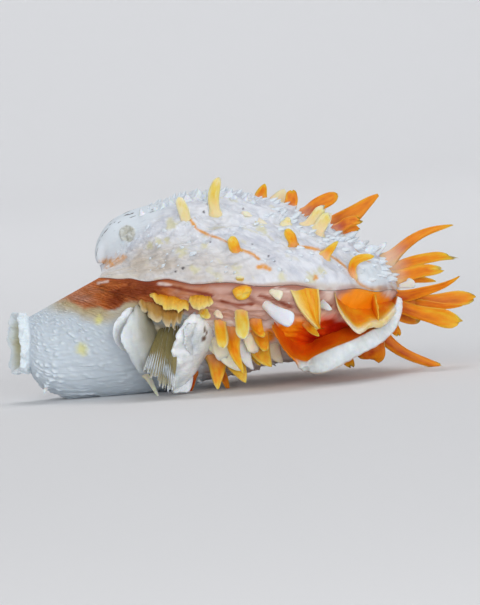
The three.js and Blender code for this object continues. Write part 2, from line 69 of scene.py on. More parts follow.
def addCamera():
    above, roll = math.radians(cameraView["elevation"]), math.radians(cameraView["roll"])
    forward = np.array([0, math.cos(above), -math.sin(above)])
    level = np.array([0, math.sin(above), math.cos(above)])
    right = np.array([math.cos(roll), 0, 0]) - level * math.sin(roll)
    up = np.array([math.sin(roll), 0, 0]) + level * math.cos(roll)
    place = toFrame(cameraView["target"]) - forward * cameraView["distance"]
    data = bpy.data.cameras.new("camera")
    data.lens = cameraView["sensor"] * cameraView["distance"] / cameraView["pictureHeight"]
    data.clip_end = cameraView["farthest"]
    camera = bpy.data.objects.new("camera", data)
    axes = np.column_stack([right, up, -forward])
    camera.matrix_world = Matrix.Translation(place) @ Matrix(axes.tolist()).to_4x4()
    bpy.context.scene.collection.objects.link(camera)
    bpy.context.scene.camera = camera


addCamera()

# The valves' growth, shared by both
shellForm = {
    "length": 57.0,
    "width": 51.0,
    "commissureDip": -2.7,           # degrees
    "visibleGap": 0.06,              # mm between the closed margins
    "ribStep": 0.14,                 # main ribs, as a share of the half margin
    "ribStart": -0.015,
    # from the ventral end to the end of the hinge line, which is 27 mm of the 51 mm width
    "halfOutline": [(1, 0), (0.977, 0.31), (0.906, 0.61), (0.79, 0.84), (0.64, 0.975), (0.48, 1),
                    (0.325, 0.91), (0.195, 0.745), (0.105, 0.61), (0.044, 0.56), (0, 27 / 51)],
}
upper = {
    "node": "upper_valve", "slot": "upper_valve_shell",
    "apex": (1.0, 3.0), "side": 1, "first": 0.045,
    "tilt": [(0.04, 160), (0.1, 106), (0.15, 84), (0.22, 62.5), (0.3, 48.5), (0.42, 37.5),
             (0.55, 26), (0.7, 15.5), (0.82, 8.8), (0.92, 3.6), (1, -2.7)],
}
lower = {
    "node": "lower_valve", "slot": "lower_valve_shell",
    "apex": (-16.7, -9.1), "side": -1, "first": 0.19,
    "tilt": [(0.19, -90), (0.22, -88.5), (0.25, -85), (0.3, -74), (0.35, -57.5), (0.5, -33.8),
             (0.65, -22.4), (0.8, -16.6), (0.9, -12.5), (0.96, -8.7), (1, -2.7)],
}


def smoothAlong(stations, where):
    # A smooth curve through (place, value) stations
    x, y = np.array(stations, float).T
    where = np.clip(where, x[0], x[-1])
    i = np.clip(np.searchsorted(x, where, side="right") - 1, 0, len(x) - 2)
    before, after = np.maximum(i - 1, 0), np.minimum(i + 2, len(x) - 1)
    here = (y[i + 1] - y[before]) / (x[i + 1] - x[before])
    following = (y[after] - y[i]) / (x[after] - x[i])
    span = x[i + 1] - x[i]
    t = (where - x[i]) / span
    return (y[i] + (y[i + 1] - y[i]) * t * t * (3 - 2 * t)
            + span * t * (1 - t) * (here * (1 - t) - following * t))


def onCurve(points, t):
    # Points on a smooth curve through the given ones, t from 0 to 1
    points = np.array(points, float)
    last = len(points) - 1
    reach = np.clip(t, 0, 1) * last
    i = np.minimum(reach.astype(int), last - 1)
    f = (reach - i)[..., None]
    a, b = points[np.maximum(i - 1, 0)], points[i]
    c, d = points[i + 1], points[np.minimum(i + 2, last)]
    return b + 0.5 * f * (c - a + f * (2 * a - 5 * b + 4 * c - d + f * (3 * (b - c) + d - a)))


def marginPoint(across):
    uv = onCurve(shellForm["halfOutline"], np.abs(across))
    return uv[..., 0] * shellForm["length"], np.sign(across) * uv[..., 1] * shellForm["width"] / 2


def grown(valve, stage, across):
    u, v = marginPoint(across)
    slope = np.radians(smoothAlong(valve["tilt"], stage))
    hingeX, hingeZ = valve["apex"][0] * (1 - stage), valve["apex"][1] * (1 - stage)
    return np.stack([hingeX + stage * u * np.cos(slope), stage * v + 0 * u,
                     hingeZ + stage * u * np.sin(slope)], axis=-1)


def unit(v):
    return v / np.maximum(np.linalg.norm(v, axis=-1, keepdims=True), 1e-12)


smallStep, nearEnd = 0.004, 0.996    # slopes are taken over a small step that stays inside the margin


def alongGrowth(valve, stage, across):
    inside = np.minimum(stage, nearEnd)
    return unit(grown(valve, inside + smallStep, across) - grown(valve, inside, across))


def outward(valve, stage, across):
    middle = np.clip(across, -nearEnd, nearEnd)
    alongMargin = grown(valve, stage, middle + smallStep) - grown(valve, stage, middle - smallStep)
    return unit(np.cross(alongGrowth(valve, stage, across), alongMargin)) * valve["side"]


def smoothstep(x, low, high):
    t = np.clip((x - low) / (high - low), 0, 1)
    return t * t * (3 - 2 * t)


# Noise for shaping: the same for every run
scramble = {"i": 374761393, "j": 668265263, "k": 2147483647, "seed": 1274126177, "mask": 0xFFFFFFFF}


def lattice(i, j, k, seed):
    c = scramble
    h = (i.astype(np.int64) * c["i"] + j.astype(np.int64) * c["j"]
         + k.astype(np.int64) * c["k"] + seed * c["seed"]) & c["mask"]
    h = ((h ^ (h >> 13)) * c["seed"]) & c["mask"]
    h = (h ^ (h >> 16)) & c["mask"]
    return h / c["mask"] * 2 - 1


def noise(points, size, seed=0):
    p = np.asarray(points, float) / size
    cell = np.floor(p)
    f = p - cell
    f = f * f * (3 - 2 * f)
    i, j, k = (cell[..., n].astype(np.int64) for n in range(3))
    total = 0
    for di, dj, dk in itertools.product((0, 1), repeat=3):
        weight = ((f[..., 0] if di else 1 - f[..., 0]) * (f[..., 1] if dj else 1 - f[..., 1])
                  * (f[..., 2] if dk else 1 - f[..., 2]))
        total = total + weight * lattice(i + di, j + dj, k + dk, seed)
    return total


def roughNoise(points, size, seed=0, octaves=4, fade=0.55):
    total, weight = 0, 1.0
    for octave in range(octaves):
        total = total + weight * noise(points, size / 2 ** octave, seed + octave)
        weight *= fade
    return total


def flatNoise(a, b, seed=0, octaves=3):
    a, b = np.broadcast_arrays(a, b)
    return roughNoise(np.stack([a, b, 0 * a + 0.37], axis=-1), 1.0, seed, octaves)


# Mesh building
def addMesh(name, points, faces, attributes, material, valve):
    mesh = bpy.data.meshes.new(name)
    points = toFrame(points)
    points[:, 2] = np.maximum(points[:, 2], 0)      # worn flat where it stands
    mesh.vertices.add(len(points))
    mesh.vertices.foreach_set("co", points.ravel())
    faces = [np.asarray(f, np.int32) for f in faces if len(f)]
    loops = np.concatenate([f.ravel() for f in faces])
    counts = np.concatenate([np.full(len(f), f.shape[1], np.int32) for f in faces])
    starts = np.concatenate([[0], np.cumsum(counts)[:-1]]).astype(np.int32)
    mesh.loops.add(len(loops))
    mesh.loops.foreach_set("vertex_index", loops)
    mesh.polygons.add(len(counts))
    mesh.polygons.foreach_set("loop_start", starts)
    mesh.polygons.foreach_set("loop_total", counts)
    mesh.polygons.foreach_set("use_smooth", np.full(len(counts), True))
    mesh.update(calc_edges=True)
    mesh.validate()
    for key, values in attributes.items():
        made = mesh.attributes.new(key, "FLOAT", "POINT")
        made.data.foreach_set("value", np.asarray(values, np.float32).ravel())
    mesh.materials.append(material)
    piece = bpy.data.objects.new(name, mesh)
    bpy.context.scene.collection.objects.link(piece)
    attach(piece, "root")
    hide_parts(valve["node"])
    print(name, len(points), "points", int((counts - 2).sum()), "triangles")


def gridFaces(rows, columns, closed=False, start=0):
    r, c = np.meshgrid(np.arange(rows - 1), np.arange(columns if closed else columns - 1), indexing="ij")
    here, beside = r * columns + c, r * columns + (c + 1) % columns
    return np.stack([here, beside, beside + columns, here + columns], -1).reshape(-1, 4) + start


class Heap:
    # Collects many small forms into one mesh
    def __init__(self):
        self.points, self.quads, self.triangles, self.attributes, self.count = [], [], [], {}, 0

    def add(self, points, quads, attributes, triangles=()):
        points = np.asarray(points, float).reshape(-1, 3)
        self.points.append(points)
        self.quads.append(np.asarray(quads, int).reshape(-1, 4) + self.count)
        self.triangles.append(np.asarray(triangles, int).reshape(-1, 3) + self.count)
        for key, values in attributes.items():
            values = np.asarray(values, float).ravel()
            self.attributes.setdefault(key, []).append(np.broadcast_to(values, (len(points),)))
        self.count += len(points)

    def build(self, name, material, valve):
        joined = {key: np.concatenate(values) for key, values in self.attributes.items()}
        faces = [np.concatenate(self.quads), np.concatenate(self.triangles)]
        addMesh(name, np.concatenate(self.points), faces, joined, material, valve)


# Materials: a node tree with short ways to add to it
def tone(r, g, b):
    channel = [c / 255 for c in (r, g, b)]
    linear = [c / 12.92 if c <= 0.04045 else ((c + 0.055) / 1.055) ** 2.4 for c in channel]
    return (*linear, 1)


class Nodes:
    def __init__(self, tree):
        self.tree = tree

    def put(self, kind, inputs=None, **settings):
        made = self.tree.nodes.new(kind)
        for key, value in settings.items():
            setattr(made, key, value)
        for key, value in (inputs or {}).items():
            if isinstance(value, bpy.types.NodeSocket):
                self.tree.links.new(value, made.inputs[key])
            else:
                made.inputs[key].default_value = value
        return made

    def attribute(self, name):
        return self.put("ShaderNodeAttribute", attribute_name=name).outputs["Fac"]

    def math(self, operation, a, b=0.0, clamp=False):
        return self.put("ShaderNodeMath", {0: a, 1: b}, operation=operation, use_clamp=clamp).outputs[0]

    def plus(self, a, b, clamp=False):
        return self.math("ADD", a, b, clamp)

    def minus(self, a, b):
        return self.math("SUBTRACT", a, b)

    def times(self, a, b):
        return self.math("MULTIPLY", a, b)

    def place(self, x, y, z=0.0):
        return self.put("ShaderNodeCombineXYZ", {"X": x, "Y": y, "Z": z}).outputs[0]

    def noise(self, place, scale, detail, roughness=0.5):
        return self.put("ShaderNodeTexNoise", {"Vector": place, "Scale": scale, "Detail": detail,
                                               "Roughness": roughness}).outputs["Fac"]

    def fadeIn(self, value, low, high):
        return self.put("ShaderNodeMapRange", {"Value": value, "From Min": low, "From Max": high},
                        interpolation_type="SMOOTHSTEP").outputs["Result"]

    def blend(self, factor, a, b, mode="MIX"):
        mix = self.put("ShaderNodeMix", {0: factor, 6: a, 7: b}, data_type="RGBA", blend_type=mode)
        return mix.outputs[2]

    def coats(self, colour, coats):
        # One coat after another, each where its own attribute is
        for mask, coat in coats.items():
            colour = self.blend(self.attribute(mask), colour, coat)
        return colour

    def ramp(self, value, stops):
        made = self.put("ShaderNodeValToRGB", {"Fac": value})
        while len(made.color_ramp.elements) < len(stops):
            made.color_ramp.elements.new(0.5)
        for element, (at, colour) in zip(made.color_ramp.elements, stops):
            element.position = at
            element.color = colour
        return made.outputs["Color"]

    def group(self, group, inputs):
        return self.put("ShaderNodeGroup", inputs, node_tree=group).outputs


def newGroup(name, inputs):
    tree = bpy.data.node_groups.new(name, "ShaderNodeTree")
    for key, start in inputs.items():
        socket = tree.interface.new_socket(name=key, in_out="INPUT", socket_type="NodeSocketFloat")
        socket.default_value = start
    return Nodes(tree), tree.nodes.new("NodeGroupInput").outputs


def closeGroup(n, results):
    for key in results:
        n.tree.interface.new_socket(name=key, in_out="OUTPUT", socket_type="NodeSocketFloat")
    sink = n.tree.nodes.new("NodeGroupOutput")
    for key, value in results.items():
        n.tree.links.new(value, sink.inputs[key])
    return n.tree


growthForm = {"unevenScale": 9.0, "bend": 9.0, "streaksAcross": 70.0, "streaksAlong": 7.0}


def growthGroup():
    # Laminae that cross the growth and streaks that run with it, from the shell's own two coordinates
    g = growthForm
    n, given = newGroup("growthLines", {"Growth": 0.5, "Across": 0.0, "Laminae": 60.0, "Wander": 0.4})
    slow = n.noise(n.place(given["Across"], given["Growth"]), g["unevenScale"], 3.0)
    shift = n.times(n.minus(slow, 0.5), given["Wander"])
    lamina = n.math("FRACT", n.plus(n.times(given["Growth"], given["Laminae"]), n.times(shift, g["bend"])))
    drawnOut = n.place(n.times(given["Across"], g["streaksAcross"]),
                       n.times(given["Growth"], g["streaksAlong"]))
    return closeGroup(n, {"Lamina": lamina, "Streak": n.noise(drawnOut, 1.0, 5.0, 0.65)})


chalkForm = {"mottle": 260.0, "grain": 1900.0, "cells": 620.0, "rare": 330.0,    # scales over metres
             "boreEdge": (0.22, 0.1), "rarest": 0.82, "boresAdd": 0.25, "rareFull": 0.85}


def chalkGroup():
    # Chalky mottling, fine grain and small bored holes
    c = chalkForm
    n, given = newGroup("chalkGrain", {"Size": 1.0, "Bores": 0.5})
    place = n.put("ShaderNodeTexCoord").outputs["Object"]
    scaled = {key: n.math("DIVIDE", c[key], given["Size"]) for key in ("mottle", "grain", "cells")}
    mottle = n.noise(place, scaled["mottle"], 4.0, 0.6)
    grain = n.noise(place, scaled["grain"], 3.0, 0.7)
    cells = n.put("ShaderNodeTexVoronoi", {"Vector": place, "Scale": scaled["cells"]})
    allowed = n.put("ShaderNodeMapRange", {
        "Value": n.noise(place, c["rare"], 1.0), "From Max": c["rareFull"],
        "From Min": n.minus(c["rarest"], n.times(given["Bores"], c["boresAdd"]))})
    bore = n.times(n.fadeIn(cells.outputs["Distance"], *c["boreEdge"]), allowed.outputs["Result"])
    height = n.minus(n.plus(n.times(mottle, 0.6), n.times(grain, 0.35)), bore)
    return closeGroup(n, {"Mottle": mottle, "Grain": grain, "Bore": bore, "Height": height})


growthLines = growthGroup()
chalkGrain = chalkGroup()


def startMaterial(name):
    material = bpy.data.materials.new(name)
    material.use_nodes = True
    material.node_tree.nodes.clear()
    n = Nodes(material.node_tree)
    output = n.put("ShaderNodeOutputMaterial")
    shader = n.put("ShaderNodeBsdfPrincipled")
    n.tree.links.new(shader.outputs[0], output.inputs["Surface"])
    return material, n, shader


def finishMaterial(n, shader, look, colour, height):
    bump = n.put("ShaderNodeBump", {"Height": height, "Strength": 1.0, "Distance": look["relief"]})
    n.tree.links.new(colour, shader.inputs["Base Color"])
    n.tree.links.new(bump.outputs[0], shader.inputs["Normal"])
    shader.inputs["Roughness"].default_value = look["roughness"]
    shader.inputs["Specular IOR Level"].default_value = look["shine"]
    shader.inputs["Subsurface Weight"].default_value = look["glowThrough"]
    shader.inputs["Subsurface Radius"].default_value = look["glowRadius"]
    shader.inputs["Subsurface Scale"].default_value = millimetre


# Upper valve: white, fibrous, with orange lines on its main ribs
upperLook = {
    "white": tone(230, 233, 239),
    "cool": tone(203, 207, 217),
    "umbo": tone(222, 231, 238),
    "beige": tone(208, 198, 186),
    "olive": tone(216, 212, 172),
    "line": tone(222, 154, 70),
    "scar": tone(182, 180, 164),
    "bore": tone(62, 56, 62),
    "margin": tone(160, 88, 56),
    # painted shade: a lavender grey multiplied into the low ground between the shingles
    "valleyShade": tone(172, 167, 178),
    "valleyShadeShare": 0.12,
    "chalk": {"Size": 1.0, "Bores": 0.35},
    "roughness": 0.55,
    "shine": 0.35,
    "relief": 0.00028,               # m
    "glowThrough": 0.2,
    "glowRadius": (1.0, 0.8, 0.7),
}


def upperMaterial():
    look = upperLook
    material, n, shader = startMaterial("upperShell")
    lines = n.group(growthLines, {"Growth": n.attribute("growth"), "Across": n.attribute("across")})
    streak = lines["Streak"]
    chalk = n.group(chalkGrain, look["chalk"])
    ridged = n.attribute("ridged")
    blotches = n.plus(n.times(streak, 0.45), n.times(chalk["Mottle"], 0.55))
    colour = n.blend(n.fadeIn(blotches, 0.36, 0.6), look["cool"], look["white"])
    colour = n.blend(n.times(n.attribute("umbo"), 0.85), colour, look["umbo"])
    colour = n.coats(colour, {"beige": look["beige"], "olive": look["olive"], "scar": look["scar"]})
    # Painted shade: the low ground between the shingles is darkened toward lavender grey
    shadedValleys = n.times(n.minus(1.0, n.attribute("raised")), ridged)
    colour = n.blend(n.times(shadedValleys, look["valleyShadeShare"]), colour, look["valleyShade"], "MULTIPLY")
    colour = n.coats(colour, {"ribLine": look["line"], "marginLine": look["margin"]})
    specks = n.math("MAXIMUM", n.attribute("specks"), n.times(chalk["Bore"], 0.7))
    colour = n.blend(specks, colour, look["bore"])
    height = n.plus(n.times(streak, n.times(ridged, 0.6)), n.times(chalk["Height"], 0.5))
    finishMaterial(n, shader, look, colour, height)
    return material


# Lower valve: bluish white umbo, pinkish brown under the commissure
lowerLook = {
    "white": tone(224, 234, 240),
    "shadow": tone(190, 200, 210),
    "cream": tone(236, 222, 212),
    "pink": tone(222, 196, 190),
    "amber": tone(206, 142, 70),
    "band": [(0.0, tone(194, 152, 138)), (0.35, tone(186, 122, 86)), (0.65, tone(182, 100, 42)),
             (1.0, tone(132, 56, 14))],
    # dark red-brown stripes of the band and along the margin, and painted shadow in one short line
    "stripe": tone(134, 54, 24),
    # ochre tint under the band and along the hinge groove, and painted shade on the wall between the leaf and
    # the fan
    "ochre": tone(186, 170, 134),
    "flake": tone(232, 212, 204),
    "lemon": tone(230, 224, 130),
    # scar colour: the rough scar face, and painted shade in the hollow behind the collar's broken rim
    "scar": tone(184, 176, 122),
    # orange of the pockets, running to deep red: partly their own colour, partly painted shade deep in the
    # pockets
    "glow": [(0.0, tone(246, 146, 8)), (0.4, tone(238, 92, 0)), (1.0, tone(172, 22, 0))],
    "bore": tone(84, 66, 56),
    "chalk": {"Size": 1.2, "Bores": 0.3},
    "roughness": 0.5,
    "shine": 0.35,
    "relief": 0.0003,                # m
    "glowThrough": 0.2,
    "glowRadius": (1.0, 0.7, 0.5),
}


def lowerMaterial():
    look = lowerLook
    material, n, shader = startMaterial("lowerShell")
    lines = n.group(growthLines, {"Growth": n.attribute("growth"), "Across": n.attribute("across")})
    streak = lines["Streak"]
    chalk = n.group(chalkGrain, look["chalk"])
    hollows = n.times(n.minus(1.0, n.attribute("knobs")), 0.75)
    body = n.blend(n.fadeIn(streak, 0.35, 0.65), look["pink"], look["cream"])
    body = n.blend(n.fadeIn(chalk["Mottle"], 0.56, 0.76), body, look["amber"])
    warmth = n.plus(n.attribute("warmth"), n.times(n.minus(streak, 0.5), 0.4), True)
    colour = n.coats(n.blend(hollows, look["white"], look["shadow"]), {
        "body": body, "ochre": look["ochre"], "band": n.ramp(warmth, look["band"]),
        "stripe": look["stripe"], "flake": look["flake"],
        # the pockets' orange runs to deep red, partly painted shade
        "glow": n.ramp(n.attribute("glowDepth"), look["glow"]), "lemon": look["lemon"], "scar": look["scar"]})
    colour = n.blend(n.times(chalk["Bore"], 0.6), colour, look["bore"])
    height = n.plus(n.times(streak, n.attribute("ridged")), n.times(chalk["Height"], 0.4))
    finishMaterial(n, shader, look, colour, height)
    return material


# Spines: waxy, deep in the channel, pale along the edges and at the root
spineLook = {
    "ramp": [(0.0, tone(226, 231, 238)), (0.1, tone(234, 229, 206)), (0.24, tone(226, 206, 104)),
             (0.42, tone(228, 180, 40)), (0.66, tone(227, 134, 4)), (1.0, tone(176, 54, 0))],
    "edge": [(0.0, tone(234, 237, 238)), (0.28, tone(236, 230, 186)), (0.6, tone(242, 194, 70))],
    "root": [(0.0, tone(232, 232, 238)), (0.12, tone(238, 228, 198)), (0.5, tone(234, 210, 180)),
             (1.0, tone(226, 150, 60))],
    "stripes": {"round": 9.0, "along": 3.0, "seed": 40.0},
    "stripeTone": 0.6,
    "chalk": {"Size": 0.9, "Bores": 0.15},
    "roughness": 0.42,
    "shine": 0.22,
    "relief": 0.00022,               # m
    "glowThrough": 0.3,
    "glowRadius": (1.4, 0.6, 0.15),
}


def spineMaterial():
    look = spineLook
    material, n, shader = startMaterial("waxySpine")
    chalk = n.group(chalkGrain, look["chalk"])
    place = [n.times(n.attribute(key), scale) for key, scale in look["stripes"].items()]
    stripes = n.noise(n.place(*place), 1.0, 3.0)
    depth = n.attribute("tone")
    # Pale spines get fainter stripes
    striped = n.times(n.times(n.minus(stripes, 0.5), look["stripeTone"]), n.fadeIn(depth, 0.05, 0.4))
    colour = n.ramp(n.plus(striped, depth, True), look["ramp"])
    colour = n.blend(n.times(n.attribute("edge"), 0.8), colour, n.ramp(depth, look["edge"]))
    colour = n.coats(colour, {"chalk": n.ramp(n.attribute("rootTone"), look["root"])})
    height = n.plus(stripes, n.times(chalk["Grain"], 0.35))
    finishMaterial(n, shader, look, colour, height)
    return material


# Plates: chalky white to greenish grey, smooth on the face and fibrous at the foot
plateLook = {
    "white": tone(246, 250, 252),
    "grey": tone(212, 220, 224),
    "olive": tone(136, 124, 80),
    "warm": [(0.0, tone(236, 226, 202)), (0.18, tone(236, 202, 100)), (0.4, tone(234, 164, 20)),
             (0.65, tone(232, 106, 0)), (1.0, tone(190, 30, 0))],
    "bore": tone(96, 66, 42),
    "laminae": 14.0,
    "laminaHeight": 0.14,
    "chalk": {"Size": 1.1, "Bores": 0.12},
    "roughness": 0.5,
    "shine": 0.3,
    "relief": 0.0003,                # m
    "glowThrough": 0.25,
    "glowRadius": (1.2, 0.7, 0.3),
}


def plateMaterial():
    look = plateLook
    material, n, shader = startMaterial("plateShell")
    chalk = n.group(chalkGrain, look["chalk"])
    lines = n.group(growthLines, {"Growth": n.attribute("along"), "Across": n.attribute("round"),
                                  "Laminae": look["laminae"]})
    blotches = n.plus(n.times(lines["Streak"], 0.25), n.times(chalk["Mottle"], 0.75))
    # Painted shade: a plate's white is pulled toward grey as far as it is set to stand in shade
    whiter = n.times(n.fadeIn(blotches, 0.36, 0.6), n.minus(1.0, n.attribute("greyedShade")))
    colour = n.coats(n.blend(whiter, look["grey"], look["white"]), {
        "olive": look["olive"], "warm": n.ramp(n.attribute("tone"), look["warm"]), "bored": look["bore"]})
    height = n.plus(n.times(lines["Streak"], n.attribute("ridged")), n.times(chalk["Height"], 0.3))
    height = n.plus(height, n.times(lines["Lamina"], look["laminaHeight"]))
    finishMaterial(n, shader, look, colour, height)
    return material


upperShell, lowerShell = upperMaterial(), lowerMaterial()
waxySpine, plateShell = spineMaterial(), plateMaterial()
print("materials made")

# Where things stand on a valve: a fine map of each half
wallMap = {"size": 420, "across": 0.98, "stages": (0.2, 0.99)}
mapCache = {}


def onWall(valve, x, z, far=False):
    key = (valve["side"], far)
    if key not in mapCache:
        m = wallMap
        across = np.linspace(0, m["across"] if far else -m["across"], m["size"])
        stage, across = np.meshgrid(np.linspace(*m["stages"], m["size"]), across, indexing="ij")
        mapCache[key] = (stage, across, grown(valve, stage, across))
    stage, across, points = mapCache[key]
    best = np.argmin((points[..., 0] - x) ** 2 + (points[..., 2] - z) ** 2)
    y = points.reshape(-1, 3)[best, 1]
    return np.array([x, y, z]), outward(valve, np.array(stage.ravel()[best]), np.array(across.ravel()[best]))


# Both margins wave together, so that the valves close on each other
marginForm = {"wave": 0.28, "uneven": 0.3}      # mm


def marginWave(across):
    slow = marginForm["wave"] * np.sin(2 * math.pi * (across - shellForm["ribStart"]) / shellForm["ribStep"])
    uneven = marginForm["uneven"] * flatNoise(across * 9, 0.5, 71)
    return (slow + uneven) * smoothstep(1 - np.abs(across), 0.05, 0.3)


def aboveMargin(base):
    # Height over the plane where the valves meet
    return base[..., 2] + base[..., 0] * math.tan(math.radians(-shellForm["commissureDip"]))


def ribProfile(across, step, start=0.0, sharp=2.0):
    return np.abs(np.cos(math.pi * (across - start) / step)) ** sharp


# As shares of the cell that each knob stands in
knobForm = {"stagger": 0.37, "strayAlong": 0.22, "strayAcross": 0.16, "radius": 0.42, "blunt": 1.7}


def nodules(stage, across, stepAlong, stepAcross, seed, keep):
    # Rows of small blunt knobs, one at most in each cell
    k = knobForm
    u, v = stage / stepAlong, across / stepAcross
    row = np.floor(v)
    u = u + k["stagger"] * row
    cell = np.floor(u)
    strayU = k["strayAlong"] * lattice(cell, row, 0 * cell, seed)
    strayV = k["strayAcross"] * lattice(cell, row, 0 * cell + 1, seed)
    size = 0.55 + 0.45 * lattice(cell, row, 0 * cell + 2, seed)
    du, dv = (u - cell - 0.5 - strayU) / k["radius"], (v - row - 0.5 - strayV) / k["radius"]
    knob = np.clip(1 - du ** 2 - dv ** 2, 0, 1) ** k["blunt"]
    present = lattice(cell, row, 0 * cell + 3, seed) < 2 * keep - 1
    return knob * size * present


def shingles(stage, across, stepAlong, stepAcross, seed, wander=0.35):
    # Small tongues that overlap toward the margin: each rises along the growth and ends in a rounded step
    across = across + wander * stepAcross * flatNoise(stage * 9, across * 12, seed + 5)
    column = np.floor(across / stepAcross)
    u = stage / stepAlong + 3.1 * lattice(column, 0 * column, 0 * column, seed)
    side = (across / stepAcross - column - 0.5) * 2
    tongue = u + 0.45 * side ** 2
    row = np.floor(tongue)
    size = 0.5 + 0.5 * lattice(row, column, 0 * row + 1, seed)
    return (tongue - row) ** 1.6 * size * (1 - 0.6 * side ** 2)


# The same low relief as the solids have
ledges = {
    "stages": (0.52, 0.67, 0.87), "length": 0.09, "height": 0.4, "uneven": 0.3,
    "flatAtMargin": 0.03, "flatAtHinge": 0.08,       # where the relief has run out
}


def coarseRelief(stage, across):
    besideHinge = smoothstep(np.abs(across), 0.55, 0.85)
    ledge = 0
    for at in ledges["stages"]:
        before = at - stage
        rise = ledges["height"] * (1 - before / ledges["length"]) ** 2
        ledge = ledge + np.where((before > -0.001) & (before < ledges["length"]), rise, 0)
    uneven = ledges["uneven"] * np.sin(9 * stage + 5 * across) * np.sin(7 * across - 4 * stage)
    beforeMargin = smoothstep(1 - stage, 0, 0.2)
    fade = (np.clip((1 - stage) / ledges["flatAtMargin"], 0, 1)
            * np.clip((1 - np.abs(across)) / ledges["flatAtHinge"], 0, 1))
    return ledge * fade + (uneven - 0.1) * beforeMargin * (1 - besideHinge), besideHinge, fade


upperRelief = {                      # heights in mm
    "mainRib": 0.36, "shingle": 0.4, "fibre": 0.07, "rough": 0.34, "lump": 0.42, "rim": 0.3,
    # steps along the growth and across it, and a seed
    "smallShingles": (0.045, 0.024, 5), "largeShingles": (0.11, 0.047, 15),
    "rimShingles": (0.04, 0.4, 35, 0.1),
    "scarAt": (128.5, 234, 8.2),     # picture x, y, radius in pixels
    "beakDroop": (0.6, 0, -0.9),     # mm, down to the hinge
}
# The smooth white swelling at the foot of the long spines, hinge frame, mm
swelling = {"centre": (51.0, 0.5), "left": 3.3, "right": 5.5, "high": 2.6, "height": 0.6}


def swellingAt(base, across):
    s = swelling
    dx, dz = base[..., 0] - s["centre"][0], (base[..., 2] - s["centre"][1]) / s["high"]
    dx = dx / np.where(dx < 0, s["left"], s["right"])
    away = np.hypot(dx, dz)
    near = across < 0.02
    edge = np.exp(-((away - 0.98) / 0.09) ** 2) * smoothstep(-0.8 * dx - 0.6 * dz, 0.15, 0.5)
    return smoothstep(away, 1.0, 0.6) * near, edge * near


def upperSkin(stage, across):
    r = upperRelief
    base = grown(upper, stage, across)
    coarse, besideHinge, fade = coarseRelief(stage, across)
    grownUp = smoothstep(stage, 0.3, 0.52) * (1 - 0.75 * besideHinge)
    main = ribProfile(across, shellForm["ribStep"], shellForm["ribStart"], 3)
    small = shingles(stage, across, *r["smallShingles"])
    large = shingles(stage, across, *r["largeShingles"])
    fibre = flatNoise(stage * 9, across * 150, 25)
    rough = roughNoise(base, 1.8, 3)
    edges = shingles(stage, across, *r["rimShingles"]) * smoothstep(aboveMargin(base), 6.5, 2.5) * grownUp
    lumps = roughNoise(base * (0.6, 1, 1), 3.4, 43, 2)
    height = coarse + fade * (
        grownUp * (r["mainRib"] * main * np.sqrt(stage) + r["shingle"] * (0.55 * small + 0.75 * large)
                   + r["fibre"] * fibre + r["rim"] * edges + r["lump"] * lumps)
        + r["rough"] * rough * (0.12 + 0.88 * grownUp))
    scar = spotMask(base, [r["scarAt"]], across < 0.02, 0.15, 0.12)
    raised, raisedEdge = swellingAt(base, across)
    height = height * (1 - 0.7 * raised) + swelling["height"] * raised
    height = height + scar * (0.3 + 0.6 * roughNoise(base, 0.9, 9))
    base = base + outward(upper, stage, across) * height[..., None]
    base[..., 2] += marginWave(across) * smoothstep(stage, 0.9, 1.0)
    droop = smoothstep(stage, 0.13, 0.045) * (1 - across ** 2)       # at the beak's tip
    base = base + droop[..., None] * np.array(r["beakDroop"])
    return base, {"ridged": grownUp * (1 - 0.8 * raised), "scar": scar, "small": np.maximum(small, raised),
                  "raised": raised, "raisedEdge": raisedEdge}


lowerRelief = {
    "nodule": 0.62, "smallNodule": 0.14, "laminae": 0.3, "rough": 0.14, "fibre": 0.1, "lump": 0.3,
    # steps along the growth and across it, a seed and the share of cells that have one
    "nodules": (0.022, 0.05, 21, 0.66), "smallNodules": (0.022, 0.03, 29, 0.7),
    "laminaCount": 40,
}
# Lower edge of the brown band under the commissure: x and z in the hinge frame
bandEdge = [(-12, -4.6), (-5.5, -4.4), (-4, -5.3), (-1.1, -6.1), (1.7, -6.3), (4, -5.5), (6.5, -4.8),
            (9.3, -4.9), (13.1, -6.1), (18.8, -7.6), (24.5, -8), (32.1, -8.6), (37.8, -7.6), (48, -5.6),
            (57, -3.9)]


def aboveBand(base):
    return base[..., 2] - smoothAlong(bandEdge, base[..., 0])


